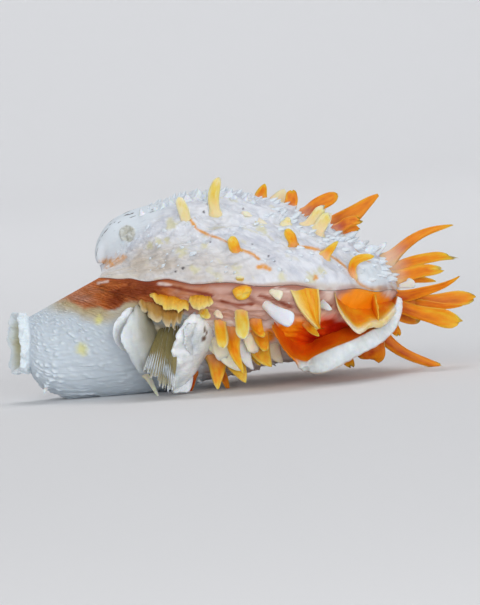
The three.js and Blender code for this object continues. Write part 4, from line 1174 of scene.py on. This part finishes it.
def spineInto(heap, root, tip, normal, wideAxis, face, look):
    f = spineForm
    kind = {**f, **spineKinds[look["kind"]]}
    look = {**f["row"], **look}
    seed, depth = look["seed"], look["tone"]
    line, centre, length = spineLine(root, tip, normal, look["bow"])
    way = unit(np.gradient(centre, axis=0))
    wide = unit(wideAxis - way * (way @ wideAxis)[:, None])
    thin = np.cross(way, wide)
    if (thin @ face).mean() < 0:
        thin = -thin
    centre, way, wide, thin = centre[:, None], way[:, None], wide[:, None], thin[:, None]
    along, turn = np.meshgrid(line, np.linspace(0, 2 * math.pi, f["around"], endpoint=False), indexing="ij")
    along = np.clip(along, 0, 1)
    flare = 1 + look["flare"] * np.clip(1 - along / 0.16, 0, 1) ** 2
    size = smoothAlong(kind["width"], along) * look["width"] / 2 * flare
    # round at the root, flat farther out
    thick = kind["thick"] + (f["rootThick"] - kind["thick"]) * smoothstep(along, 0.4, 0.0)
    x = np.cos(turn) * size * (1 + 0.05 * np.sin(3 * turn + seed * 9))
    y = np.sin(turn) * size * thick + kind["cup"] * (np.cos(turn) ** 2 - 0.5) * size
    place = np.stack([np.cos(turn) * 1.8 + seed * 31, np.sin(turn), 0.4 * along], -1)
    longer = kind["ragged"] * noise(place, 0.55, 7) * along ** 4 * length
    sway = 0.03 * length * np.sin(along * 5 + seed * 20) * along * (1 - along) * 2
    ridges = 1 + 0.05 * noise(place * (3, 3, 5), 0.5, 19)
    if look["kind"] != "ball":
        ridges = ridges + 0.05 * np.sin(7 * turn + seed * 5) * (along > 0.05)
    points = centre + (x * ridges + sway)[..., None] * wide + (y * ridges)[..., None] * thin
    points = points + longer[..., None] * way
    rows, columns = along.shape
    end = points[-1].mean(axis=0) + way[-1, 0] * 0.04 * look["width"]
    last, around = (rows - 1) * columns, np.arange(columns)
    cap = np.stack([np.full(columns, rows * columns), last + around, last + (around + 1) % columns], -1)
    along = np.append(along.ravel(), 1)
    edge = np.append((np.abs(np.cos(turn)) ** 6).ravel(), 1) * smoothAlong([(0, 0.4), (1, 1.0)], along)
    inside = np.append(np.clip(np.sin(turn), 0, 1).ravel(), 0.5)
    coloured = float(smoothstep(np.array(depth), 0.08, 0.3))
    shade = depth + coloured * (0.14 * inside - 0.14 * smoothstep(along, 0.7, 1.0)
                                + 0.16 * inside * smoothstep(along, 0.6, 0.1))
    heap.add(np.concatenate([points.reshape(-1, 3), end[None]]), gridFaces(rows, columns, closed=True), {
        "along": along, "round": np.append(turn.ravel() / (2 * math.pi), 0), "seed": seed, "tone": shade,
        "edge": np.clip(edge * look["rim"], 0, 1), "rootTone": look["rootTone"],
        "chalk": smoothstep(along, look["coat"], 0.0) * look["chalk"]}, cap)


def measuredSpine(heap, valve, row, seed):
    root, normal = onWall(valve, *row["root"], row.get("far", False))
    flat = math.hypot(row["tip"][0] - row["root"][0], row["tip"][1] - row["root"][1])
    square = normal[1] / max(0.6, math.hypot(normal[0], normal[2]))
    tipY = root[1] - row["reach"] if "reach" in row else root[1] + 0.7 * flat * square
    tip = np.array([row["tip"][0], tipY, row["tip"][1]])
    way = tip - root
    if valve is upper:
        look = {"chalk": 0.75, "rootTone": 0.1 if row["tone"] > 0.05 else 0, "flare": 0.4}
    else:
        look = {"chalk": 0.1 if row["root"][0] > 44 else 0.4, "rootTone": min(1, 0.3 + row["tone"]),
                "flare": 0.15}
    look = {**look, **row, "seed": seed}
    spineInto(heap, root, tip, normal, np.array([-way[2], 0, way[0]]), np.array([0.2, -1.0, 0.1]), look)


# The open spout beside the pockets. Its stations are the left rim and the right rim [x, z], how far the rims
# stand off the wall, and how deep it is.
spout = {
    "thickness": 0.8, "tone": 0.46, "rows": 40, "columns": 20,
    "stations": [((35.5, -1.9), (41.0, -2.1), 0.4, 0.3), ((36.2, -3.2), (41.1, -3.6), 1.8, 0.9),
                 ((37.3, -5.2), (41.2, -5.6), 3.2, 1.1), ((38.7, -7.2), (41.2, -7.6), 4.4, 0.9),
                 ((40.0, -8.6), (41.3, -9.0), 5.2, 0.5), ((40.8, -9.4), (41.2, -9.6), 5.6, 0.1)],
}


def spoutInto(heap, valve):
    lefts, rights, backs = [], [], []
    for left, right, reach, depth in spout["stations"]:
        middle = [(left[0] + right[0]) / 2, (left[1] + right[1]) / 2]
        wallY = onWall(valve, *middle)[0][1]
        lefts.append([left[0], wallY - reach, left[1]])
        rights.append([right[0], wallY - 0.75 * reach, right[1]])
        backs.append([middle[0] + 0.4, wallY - reach + 2 * depth, middle[1]])
    rows, columns = spout["rows"], spout["columns"]
    down = np.linspace(0, 1, rows)
    along, across = np.meshgrid(down, np.linspace(0, 1, columns), indexing="ij")
    left, right, back = (onCurve(line, down)[:, None] for line in (lefts, rights, backs))
    u = across[..., None]
    surface = (1 - u) ** 2 * left + 2 * u * (1 - u) * back + u ** 2 * right
    normal = unit(np.cross(np.gradient(surface, axis=1), np.gradient(surface, axis=0)))
    normal = normal * np.where(normal[..., 1:2] < 0, -1, 1)        # away from the open side
    uneven = 0.12 * roughNoise(surface, 1.6, 211, 3) + 0.1 * np.sin(3 * along + 9 * across)
    rounding = np.sqrt(np.clip(1 - np.abs(2 * across - 1) ** 8, 0.02, 1))
    inner = surface + normal * uneven[..., None]
    outer = inner + normal * (spout["thickness"] * rounding)[..., None]
    edge = np.clip(1.15 - np.minimum(across / 0.3, (1 - across) / 0.1), 0, 1)
    inside = np.concatenate([1 - edge, 0 * edge[:, ::-1]], axis=1)
    quads = np.concatenate([gridFaces(rows, 2 * columns, closed=True), sheetEnd(rows - 1, columns)])
    heap.add(np.concatenate([inner, outer[:, ::-1]], axis=1), quads, {
        "along": np.concatenate([along, along], axis=1), "round": np.concatenate([across, across], axis=1),
        "seed": 3.1, "tone": spout["tone"] - 0.06 + 0.14 * inside, "chalk": 0.0, "rootTone": 0.5,
        "edge": np.concatenate([edge, edge[:, ::-1]], axis=1)})


def sheetEnd(row, columns):
    # Closes one end of a sheet whose front and back are one loop of twice its columns
    ids = row * 2 * columns + np.arange(2 * columns)
    front, back = ids[:columns], ids[:columns - 1:-1]
    return np.stack([front[:-1], front[1:], back[1:], back[:-1]], -1)


# Rows of spines where the photographed side doesn't show them: place across, stages and length at the margin
hiddenRows = [
    dict(valve=upper, across=0.18, stages=(0.5, 0.66), length=4),
    dict(valve=upper, across=0.35, stages=(0.46, 0.62, 0.78, 0.93), length=7.5),
    dict(valve=upper, across=0.52, stages=(0.6, 0.76, 0.94), length=6.5),
    dict(valve=upper, across=0.68, stages=(0.64, 0.82, 0.95), length=5.5),
    dict(valve=lower, across=0.18, stages=(0.62, 0.78, 0.94), length=7),
    dict(valve=lower, across=0.35, stages=(0.54, 0.7, 0.86, 0.96), length=8.5),
    dict(valve=lower, across=0.52, stages=(0.46, 0.62, 0.8, 0.94), length=7),
    dict(valve=lower, across=0.68, stages=(0.54, 0.72, 0.9), length=6),
    dict(valve=lower, across=0.82, stages=(0.64, 0.84), length=5),
]
hiddenForm = {
    "stray": 0.012, "uneven": 0.2,
    "young": 0.4, "grown": 0.6,      # the length's share that all have, and the rest toward the margin
    "out": 0.62, "onward": 0.72, "aside": 0.15,      # the way to the tip, as shares of the length
    "width": 1.4, "widthByLength": 0.16, "tone": 0.3, "toneRange": 0.4,
}
scatter = (127.1, 43758.5453)        # two numbers that leave no pattern


def wobble(n):
    # The same number from -1 to 1 for the same n
    s = math.sin(n * scatter[0]) * scatter[1]
    return 2 * (s - math.floor(s)) - 1


def rowInto(heap, row):
    h, valve = hiddenForm, row["valve"]
    for i, stage in enumerate(row["stages"]):
        seed = 10 * row["across"] + i + row["stages"][0]
        s, a = np.array(stage), np.array(row["across"] + h["stray"] * wobble(seed))
        root, growth, normal = grown(valve, s, a), alongGrowth(valve, s, a), outward(valve, s, a)
        sideways = np.cross(growth, normal)
        length = row["length"] * (h["young"] + h["grown"] * stage ** 3) * (1 + h["uneven"] * wobble(seed + 3))
        tip = root + normal * length * h["out"] + growth * length * h["onward"]
        tip = tip + sideways * length * h["aside"] * wobble(seed + 7)
        look = {"width": h["width"] + h["widthByLength"] * length,
                "kind": "spoon" if wobble(seed + 5) > 0.3 else "thorn",
                "tone": h["tone"] + h["toneRange"] * abs(wobble(seed + 9)), "seed": 0.37 * seed,
                "rim": 0.5, "chalk": 0.7, "rootTone": 0.1 if valve is upper else 0.6}
        spineInto(heap, root, tip, normal, sideways, growth, look)


upperHeap, lowerHeap = Heap(), Heap()
for i, row in enumerate(upperSpines):
    measuredSpine(upperHeap, upper, row, 0.13 * i)
for i, row in enumerate(lowerSpines):
    measuredSpine(lowerHeap, lower, row, 5 + 0.17 * i)
spoutInto(lowerHeap, lower)
for row in hiddenRows:
    rowInto(upperHeap if row["valve"] is upper else lowerHeap, row)
upperHeap.build("upperSpines", waxySpine, upper)
lowerHeap.build("lowerSpines", waxySpine, lower)
print("spines made")

# Small erect scales in rows on the riblets
scaleForm = {
    "upper": dict(ribs=0.018, step=0.022, stages=(0.27, 0.985), size=(0.3, 1.2), keep=0.6, seed=101, fromX=0),
    "lower": dict(ribs=0.04, step=0.035, stages=(0.5, 0.985), size=(0.3, 0.9), keep=0.3, seed=131, fromX=17),
}
# A scale is three small rings of four points: how far along and how wide each is, and the way to each point
scaleRings = ((-0.35, 0.85), (0.4, 0.6), (1.0, 0.1))
scaleCorners = ((1, 0), (0, 0.5), (-1, 0), (0, -0.5))


def scalePlaces(valve, form, rng):
    # Rows with each place moved a little, most of them along the ridge and at the margin
    across = np.arange(-0.96, 0.96, form["ribs"])
    s, a = np.meshgrid(np.arange(*form["stages"], form["step"]), across, indexing="ij")
    s = (s + rng.uniform(-0.45, 0.45, s.shape) * form["step"]).ravel()
    a = (a + rng.uniform(-0.35, 0.35, a.shape) * form["ribs"]).ravel()
    likely = form["keep"] * (0.7 + 0.8 * flatNoise(s * 6, a * 9, form["seed"]))
    likely = likely * np.maximum(1 - smoothstep(np.abs(a), 0.14, 0.34) * 0.85, 0.5 * smoothstep(s, 0.8, 0.92))
    likely = likely * smoothstep(np.abs(a), 0.8, 0.6)       # none beside the hinge
    chosen = (rng.uniform(0, 1, len(s)) < likely) & (s < form["stages"][1])
    chosen &= grown(valve, s, a)[:, 0] > form["fromX"]
    return s[chosen], a[chosen]


def scaleField(name, valve, skin, form, material):
    rng = np.random.default_rng(form["seed"])
    s, a = scalePlaces(valve, form, rng)
    base, _ = skin(s, a)
    growth, normal = alongGrowth(valve, s, a), outward(valve, s, a)
    sideways = np.cross(growth, normal)
    smallest, largest = form["size"]
    size = smallest + (largest - smallest) * rng.uniform(0, 1, len(s)) ** 2.2
    crest = smoothstep(np.abs(a), 0.24, 0.1)
    size = size * (0.6 + 0.5 * s) * (1 - 0.45 * smoothstep(np.abs(a), 0.5, 0.9)) * (
        1 + (0.35 + 0.9 * smoothstep(s, 0.78, 0.92)) * crest)
    leanOut = rng.uniform(0.3, 0.6, len(s)) + 0.4 * np.maximum(crest, smoothstep(s, 0.85, 0.95))
    way = unit(normal * leanOut[:, None] + growth * (1.1 - 0.6 * leanOut)[:, None]
               + sideways * rng.uniform(-0.3, 0.3, len(s))[:, None])
    thin = unit(np.cross(way, sideways))
    points = []
    for t, w in scaleRings:
        centre = base + way * (size * t)[:, None]
        for wx, wy in scaleCorners:
            points.append(centre + sideways * (size * w * wx)[:, None] + thin * (size * w * wy)[:, None])
    each, corners = len(points), len(scaleCorners)
    starts = each * np.arange(len(s))[:, None, None]
    sides = gridFaces(len(scaleRings), corners, closed=True)
    cap = np.arange(each - corners, each)[None]
    heap = Heap()
    heap.add(np.stack(points, axis=1), np.concatenate([(sides + starts).reshape(-1, 4),
                                                       (cap + starts).reshape(-1, 4)]), {
        "growth": np.repeat(s, each), "across": np.repeat(a, each), "ridged": 0.2, "raised": 1.0,
        "knobs": 1.0, "umbo": 1.0, "body": np.repeat(smoothstep(base[:, 0], 17, 24) * 0.5, each)})
    heap.build(name, material, valve)


scaleField("upperScales", upper, upperSkin, scaleForm["upper"], upperShell)
scaleField("lowerScales", lower, lowerSkin, scaleForm["lower"], lowerShell)
print("scales made")

# Plates that stand off the lower valve. Each station is [x, z] on the wall and [x, z, reach] at the free
# edge, a bore is its place out and round the plate and its radius there.
plateDefaults = dict(ridged=0.35, lumps=0.5, fold=0, lobes=0, notch=0.3, pointed=False,
                     tone=0.0, warm=0.0, olive=0.2, footShade=0, fade=0.8, grooveShade=0, greyedShade=0.0, bores=[])
plates = {
    # The leaf is painted greyer than the boot as shade, and olive toward its foot as shade
    "leaf": dict(
        thickness=0.7, bow=1.7, ripple=0.12, flutes=2, ragged=0.03, ridged=0.0, fold=-0.35,
        olive=0.03, footShade=0.75, greyedShade=0.7,
        stations=[((6.9, -6.7), (6.2, -7.2, 1.5)), ((9.0, -8.1), (5.0, -9.0, 5.6)),
                  ((10.4, -10.6), (4.3, -11.6, 8)), ((10.8, -13.2), (5.6, -14.4, 8)),
                  ((9.8, -15.8), (7.8, -17.9, 5))]),
    "leafBack": dict(
        thickness=0.6, bow=0.8, ripple=0.12, flutes=2, ragged=0.03, ridged=0.0, olive=0.0, greyedShade=0.1,
        stations=[((5.8, -5.8), (4.8, -6.2, 1)), ((6.6, -8.6), (3.2, -8.4, 4.8)),
                  ((6.8, -11.0), (2.5, -10.6, 5.4)), ((7, -12.6), (3.6, -12.8, 4.6)),
                  ((7.6, -13.8), (5.8, -14.4, 3))]),
    "boot": dict(
        thickness=1.8, bow=1.1, ripple=0.16, flutes=3, ragged=0.05, ridged=0.15, lumps=1.1, olive=0.0,
        bores=[(0.38, 0.27, 0.036), (0.35, 0.2, 0.024), (0.28, 0.23, 0.022)],
        stations=[((17.6, -7.3), (16.8, -7.7, 2)), ((20.2, -9.4), (14.8, -10.4, 5.2)),
                  ((20.6, -12.8), (13.9, -13.6, 7)), ((18.8, -15.4), (14.3, -17.5, 7.6)),
                  ((17.0, -17.0), (13.6, -20.9, 7)), ((16.4, -17.4), (16.7, -21.5, 6))]),
    "bootFlap": dict(
        thickness=0.9, bow=0.8, ripple=0.1, flutes=2, ragged=0.05, lumps=0.6,
        stations=[((18.6, -8.0), (17.0, -8.6, 4.3)), ((19.2, -10.2), (16.0, -10.2, 7.2)),
                  ((18.8, -12.4), (16.4, -12.6, 7.7)), ((17.8, -14.2), (17.2, -14.4, 6))]),
    "fringe": dict(
        thickness=0.5, bow=0.4, ripple=0.16, flutes=4, ragged=0.1, lobes=5, notch=0.1, pointed=True,
        warm=1.0, tone=0.22,
        stations=[((9.6, -3.3), (9.6, -3.5, 0.8)), ((11.2, -3.2), (11.0, -4.9, 2.4)),
                  ((12.8, -3.3), (12.8, -6.2, 3.2)), ((14.6, -3.7), (14.8, -6.4, 3.4)),
                  ((16.4, -4.4), (16.9, -5.9, 2.4))]),
    "fringeEnd": dict(
        thickness=0.6, bow=0.5, ripple=0.15, flutes=2, ragged=0.08, lobes=2, notch=0.1, pointed=True,
        warm=1.0, tone=0.18,
        stations=[((17.0, -3.9), (16.9, -4.6, 1.4)), ((18.0, -3.4), (17.7, -5.9, 2.8)),
                  ((19.4, -3.5), (19.6, -6.2, 3.0)), ((20.8, -4.0), (21.3, -4.9, 1.6))]),
    "amber": dict(
        thickness=0.5, bow=0.6, ripple=0.3, flutes=4, ragged=0.06, lobes=5, lumps=1.2,
        warm=0.35, tone=0.34, olive=2.3,
        stations=[((7.8, -4.2), (7.6, -5.6, 1.5)), ((10, -4.4), (9.6, -7.8, 3)),
                  ((12.4, -4.8), (12.6, -9.3, 4)), ((14.4, -5.4), (14.4, -9.4, 3.4)),
                  ((15.8, -6), (15.8, -7.4, 1.5))]),
    "septum": dict(
        thickness=0.7, bow=0, ripple=0.05, flutes=2, ragged=0.03, warm=1.0, tone=0.42,
        stations=[((51.6, -2.9), (51.7, -3.2, 1)), ((51.8, -4.4), (52, -6, 4)),
                  ((52, -6.4), (52.4, -9, 6))]),
    "fan": dict(
        thickness=0.45, bow=0.5, ripple=0.22, flutes=15, ragged=0.1, ridged=0.8, lobes=7, notch=0.1,
        pointed=True, olive=0.8, fade=0.6, grooveShade=1.4,
        stations=[((11.4, -9.6), (8.4, -17.6, 6.0)), ((12.2, -9.4), (9.8, -18.9, 6.4)),
                  ((13.0, -9.2), (11.6, -20.2, 6.8)), ((13.8, -9.0), (12.7, -20.8, 6.2)),
                  ((14.8, -8.8), (14.1, -21.2, 5.4))]),
}
plateForm = {"columns": 18, "rows": 40, "rowsPerFlute": 12}


def plateSurface(valve, plate, seed):
    # The middle surface from the wall to the free edge, with its bow, ragged edge, flutes and lumps
    feet, frees = [], []
    for foot, edge in plate["stations"]:
        wall, normal = onWall(valve, *foot)
        feet.append(wall - normal)
        frees.append([edge[0], wall[1] - edge[2], edge[1]])
    v = np.linspace(0, 1, plateForm["rows"] + plateForm["rowsPerFlute"] * plate["flutes"])
    foot, free = onCurve(feet, v), onCurve(frees, v)
    square = unit(np.cross(free - foot, np.gradient(foot + free, axis=0)))
    square = np.where(square @ (1, -0.6, 0) < 0, -1, 1)[:, None] * square
    out, side = np.meshgrid(np.linspace(0, 1, plateForm["columns"]), v, indexing="xy")
    longer = 1 + plate["ragged"] * flatNoise(side * 22, 0 * side + seed, 151, 2) * out ** 3
    if plate["lobes"]:
        lobe = np.abs(np.sin(math.pi * plate["lobes"] * (side + 0.04 * np.sin(9 * side)))) ** 0.6
        longer = longer * (1 - plate["notch"] * (lobe if plate["pointed"] else 1 - lobe) * out ** 2)
    surface = (foot[:, None] + (free - foot)[:, None] * (out * longer)[..., None]
               + square[:, None] * (plate["bow"] * 4 * out * (1 - out))[..., None])
    wave = np.sin(2 * math.pi * plate["flutes"] * side + seed + 1.5 * flatNoise(side * 5, out, 157))
    ripple = plate["ripple"] * wave * out + 0.5 * plate["ripple"] * flatNoise(side * 14, out * 3, 163)
    surface = surface + square[:, None] * ripple[..., None]
    normal = unit(np.cross(np.gradient(surface, axis=1), np.gradient(surface, axis=0)))
    lumps = plate["lumps"] * 0.5 * roughNoise(surface, 3.2, 191, 3) * out
    return surface + normal * lumps[..., None], normal, out, side, wave


def bothSides(front, back):
    # One loop of columns: out along the front of a sheet, home along its back
    return np.concatenate([front, back[:, ::-1]], axis=1)


def plateInto(heap, valve, plate, seed):
    plate = {**plateDefaults, **plate}
    surface, normal, out, side, wave = plateSurface(valve, plate, seed)
    half = (plate["thickness"] / 2 * (1 - 0.65 * out ** 2))[..., None]
    points = bothSides(surface + normal * half, surface - normal * half)
    along, around = bothSides(out, out), np.concatenate([side, side], axis=1)
    crease = plate["fold"] * np.exp(-((along - 0.8) / 0.05) ** 2)
    points = points + crease[..., None] * bothSides(normal, normal)
    warmth = plate["tone"] + 0.3 * (1 - along) - 0.08 * smoothstep(along, 0.6, 1.0)
    # Painted shade: dark olive along the grooves between the flutes
    grooveShade = bothSides(wave, -wave) * plate["grooveShade"]
    olive = plate["olive"] * (1 - plate["fade"] * along) + 0.55 * grooveShade * (1 - 0.6 * plate["fade"] * along)
    # Painted shade: olive toward the foot of the plate
    olive = olive + plate["footShade"] * smoothstep(along, 1.0, 0.4)
    bored = 0 * along
    for atAlong, atAround, radius in plate["bores"]:
        away = np.hypot((along - atAlong) * 0.6, around - atAround) + 0.004 * roughNoise(points, 0.8, 193)
        bored = np.maximum(bored, smoothstep(away, radius, 0.5 * radius))
    rows, columns = out.shape
    quads = [gridFaces(rows, 2 * columns, closed=True), sheetEnd(0, columns), sheetEnd(rows - 1, columns)]
    heap.add(points, np.concatenate(quads), {
        "along": along, "round": around, "tone": np.clip(warmth, 0, 1), "warm": plate["warm"],
        "olive": np.clip(olive, 0, 1), "ridged": plate["ridged"], "bored": bored, "greyedShade": plate["greyedShade"]})


plateHeap = Heap()
for i, plate in enumerate(plates.values()):
    plateInto(plateHeap, lower, plate, 1.3 * i)

# The two cups at the ventral end: a slab with a broken chalky edge below, a scoop above. Each station is
# [x, z, reach] at the upper and the lower side of the edge, then [x, z] of its upper and lower root.
cups = {
    "slab": dict(rough=0.6, smoother=0.6, rim=0.0, rimTone=0.5, tone=0.74, chalkyFrom=(0.2, 0.28), stations=[
        ((32.3, -8.6, 1.5), (32.4, -9.4, 1.5), (33, -8), (33.6, -9.6)),
        ((34, -12.2, 5), (34.2, -12.9, 5), (34.9, -10.4), (35.4, -12.9)),
        ((36.2, -14.7, 7.5), (36.4, -15.5, 7.5), (36.6, -12.2), (37.2, -14)),
        ((38.6, -15.6, 8.5), (37.9, -17, 8.5), (38.6, -12.8), (39.6, -14.2)),
        ((40.4, -14.6, 9), (40.3, -18, 9), (41, -11.8), (42, -13.4)),
        ((43.7, -13.1, 8.5), (44, -17, 8.5), (44, -10.4), (44.8, -12.5)),
        ((47.5, -11.6, 7.5), (48.4, -14.5, 7.5), (47.6, -9), (48, -10.9)),
        ((50.9, -9.9, 6.5), (52.4, -12.5, 6.5), (50.8, -7.7), (51, -9.3)),
        ((54, -8.3, 5.5), (55.4, -9.8, 5), (53.6, -6.2), (53.8, -7.5)),
        ((55.4, -5.8, 4.5), (56.9, -6.4, 4), (55.0, -4.6), (55.4, -5.4)),
        ((56.1, -3.5, 2.6), (56.9, -3.9, 2.2), (55.6, -3.3), (56.2, -4))]),
    "scoop": dict(rough=0.22, smoother=0, rim=0.22, rimTone=0.3, tone=0.6, chalkyFrom=(0.8, 0.95), stations=[
        ((44, -2.6, 1), (44, -3.1, 1), (44.8, -2.6), (45, -3.4)),
        ((44.6, -5.3, 4), (44.6, -6, 4), (45.6, -3.6), (46, -4.8)),
        ((46.4, -8.1, 6), (46.4, -8.8, 6), (47, -4.8), (47.2, -6.6)),
        ((48.2, -9.6, 6.5), (48.4, -10.4, 6.5), (48.6, -5.2), (48.8, -7.2)),
        ((50.7, -8.4, 6), (50.8, -9.4, 6), (50.8, -5.2), (51, -6.8)),
        ((52.8, -8, 5.5), (53, -9.2, 5), (52.6, -4.8), (52.8, -6)),
        ((55, -6, 4), (55.4, -6.9, 3.5), (54.2, -4), (54.4, -5)),
        ((56.6, -3.7, 1.5), (56.9, -4.3, 1.5), (55.9, -3.3), (56, -3.9))]),
}
cupForm = {
    "rows": 110,
    "rootSunk": 1.5,                 # mm
    "insideSags": (0.1, 0.25, -0.35), "insideDepth": 1.4, "edgeSwells": (0, -0.5, 0),     # mm
    # the faces from corner to corner, with their columns
    "faces": [("edge", 0, 1, 9), ("under", 1, 2, 10), ("root", 2, 3, 4), ("inside", 3, 0, 16)],
}


def cupSurface(valve, cup):
    # Rows along the cup, columns round its four faces, and how deep each column lies behind the edge
    corners = []
    for edgeTop, edgeBottom, footTop, footBottom in cup["stations"]:
        high, highNormal = onWall(valve, *footTop)
        low, lowNormal = onWall(valve, *footBottom)
        corners.append([[edgeTop[0], high[1] - edgeTop[2], edgeTop[1]],
                        [edgeBottom[0], high[1] - edgeBottom[2], edgeBottom[1]],
                        low - lowNormal * cupForm["rootSunk"], high - highNormal * cupForm["rootSunk"]])
    corners = np.array(corners)
    lines = [onCurve(corners[:, k], np.linspace(0, 1, cupForm["rows"])) for k in range(4)]
    ring, faces, depth = [], [], []
    for face, a, b, count in cupForm["faces"]:
        for t in np.linspace(0, 1, count, endpoint=False):
            sag = 4 * t * (1 - t)
            point = lines[a] * (1 - t) + lines[b] * t
            if face == "inside":
                point = point + np.array(cupForm["insideSags"]) * sag * cupForm["insideDepth"]
            if face == "edge":
                point = point + np.array(cupForm["edgeSwells"]) * sag
            ring.append(point)
            faces.append(face)
            depth.append({"edge": 0.0, "under": t, "root": 1.0, "inside": 1 - t}[face])
    return np.stack(ring, axis=1), np.array(faces), np.array(depth)


def cupInto(heap, valve, cup):
    points, faces, depth = cupSurface(valve, cup)
    rows, columns = points.shape[:2]
    along = np.repeat(np.linspace(0, 1, rows)[:, None], columns, axis=1)
    inside = faces == "inside"
    rough = roughNoise(points, 1.8, 171) + 0.7 * np.abs(roughNoise(points, 1.1, 173))
    rough = cup["rough"] * rough * np.where(inside, 0.2, 1.0)[None]
    rough = rough * (1 - cup["smoother"] * smoothstep(along, 0.3, 0.5))
    points = points + unit(points - points.mean(axis=1, keepdims=True)) * rough[..., None]
    grain = roughNoise(points, 3.0, 181)
    deeper = smoothstep(depth, 0.05, 0.6)[None] * np.where(inside, 1, 0.5)
    warmth = cup["rimTone"] + (cup["tone"] - cup["rimTone"]) * deeper + 0.12 * grain
    warmth = warmth - smoothstep(depth, 0.3, 0.05)[None] * cup["rim"]
    chalky = np.where(inside, 0, 0.7 + 0.3 * (faces == "edge")) * smoothstep(along, *cup["chalkyFrom"])
    ends = np.array([points[0].mean(axis=0), points[-1].mean(axis=0)])
    caps = []
    for row, centre in ((0, rows * columns), (rows - 1, rows * columns + 1)):
        ids = row * columns + np.arange(columns)
        caps.append(np.stack([np.full(columns, centre), ids, np.roll(ids, -1)], -1))

    def padded(values):
        return np.append(np.broadcast_to(values, along.shape).ravel(), [0, 0])

    heap.add(np.concatenate([points.reshape(-1, 3), ends]), gridFaces(rows, columns, closed=True), {
        "along": padded(1 - depth), "round": padded(along), "tone": padded(np.clip(warmth, 0, 1)),
        "warm": padded(np.clip(1 - chalky, 0, 1)),
        "olive": padded(0.3 * smoothstep(along, 0.7, 0.2) + 0.1 * grain), "ridged": 0.3, "bored": 0.0,
        # Painted shade: the chalky faces of the cups are greyer toward their left ends
        "greyedShade": padded(np.clip(1.15 - 0.95 * along + 0.5 * grain, 0, 1))}, np.concatenate(caps))


for cup in cups.values():
    cupInto(plateHeap, lower, cup)
plateHeap.build("lowerPlates", plateShell, lower)
print("plates and cups made")

# Floor that runs up into a wall with no edge, and soft light
studio = {
    "floorColour": (0.78, 0.78, 0.79, 1), "floorRoughness": 0.9,
    "width": 6.0, "front": -2.5, "flatFrom": -1.5, "flatTo": 1.2, "bend": 0.8, "height": 3.0,      # m
    "flatSteps": 6, "bendSteps": 24,
    "world": 0.34, "worldColour": (0.95, 0.97, 1.0, 1),
    "aimAt": (0, 0, 0.02),
}


def addFloor():
    g = studio
    flat = np.linspace(g["flatFrom"], g["flatTo"], g["flatSteps"])
    profile = [(g["front"], 0.0)] + [(y, 0.0) for y in flat]
    for turn in np.linspace(0, math.pi / 2, g["bendSteps"])[1:]:
        profile.append((g["flatTo"] + g["bend"] * math.sin(turn), g["bend"] * (1 - math.cos(turn))))
    profile.append((g["flatTo"] + g["bend"], g["height"]))
    points = [(x, y, z) for y, z in profile for x in (-g["width"] / 2, g["width"] / 2)]
    mesh = bpy.data.meshes.new("floor")
    mesh.from_pydata(points, [], [(2 * i, 2 * i + 1, 2 * i + 3, 2 * i + 2) for i in range(len(profile) - 1)])
    mesh.polygons.foreach_set("use_smooth", [True] * len(mesh.polygons))
    material, _, shader = startMaterial("paleFloor")
    shader.inputs["Base Color"].default_value = g["floorColour"]
    shader.inputs["Roughness"].default_value = g["floorRoughness"]
    mesh.materials.append(material)
    floor = bpy.data.objects.new("floor", mesh)
    bpy.context.scene.collection.objects.link(floor)


lamps = [
    dict(name="keyLight", at=(-0.4, -0.95, 0.62), size=0.5, power=2.7, colour=(1.0, 0.99, 0.98)),
    dict(name="lowLight", at=(0.15, -1.1, 0.16), size=0.34, power=3.7, colour=(1.0, 1.0, 1.0)),
    dict(name="fillLight", at=(0.6, -1.0, 0.22), size=0.6, power=2.9, colour=(0.95, 0.97, 1.0)),
    dict(name="topLight", at=(0.1, 0.25, 1.1), size=0.6, power=1.8, colour=(0.97, 0.98, 1.0)),
    dict(name="backdropLight", at=(0, 0.7, 1.6), size=1.2, power=14.0, colour=(0.97, 0.98, 1.0),
         aimAt=(0, 2.0, 0.4)),
]


def addLights():
    for lamp in lamps:
        data = bpy.data.lights.new(lamp["name"], "AREA")
        data.shape = "DISK"
        data.size, data.energy, data.color = lamp["size"], lamp["power"], lamp["colour"]
        light = bpy.data.objects.new(lamp["name"], data)
        z = unit(np.array(lamp["at"]) - lamp.get("aimAt", studio["aimAt"]))
        x = unit(np.cross([0, 0, 1.0], z))
        aim = Matrix(np.column_stack([x, np.cross(z, x), z]).tolist())
        light.matrix_world = Matrix.Translation(lamp["at"]) @ aim.to_4x4()
        bpy.context.scene.collection.objects.link(light)
    world = bpy.data.worlds.new("studio")
    world.use_nodes = True
    background = world.node_tree.nodes["Background"]
    background.inputs["Color"].default_value = studio["worldColour"]
    background.inputs["Strength"].default_value = studio["world"]
    bpy.context.scene.world = world


addFloor()
addLights()
bpy.context.scene.view_settings.view_transform = "Standard"
print("floor and lights made")
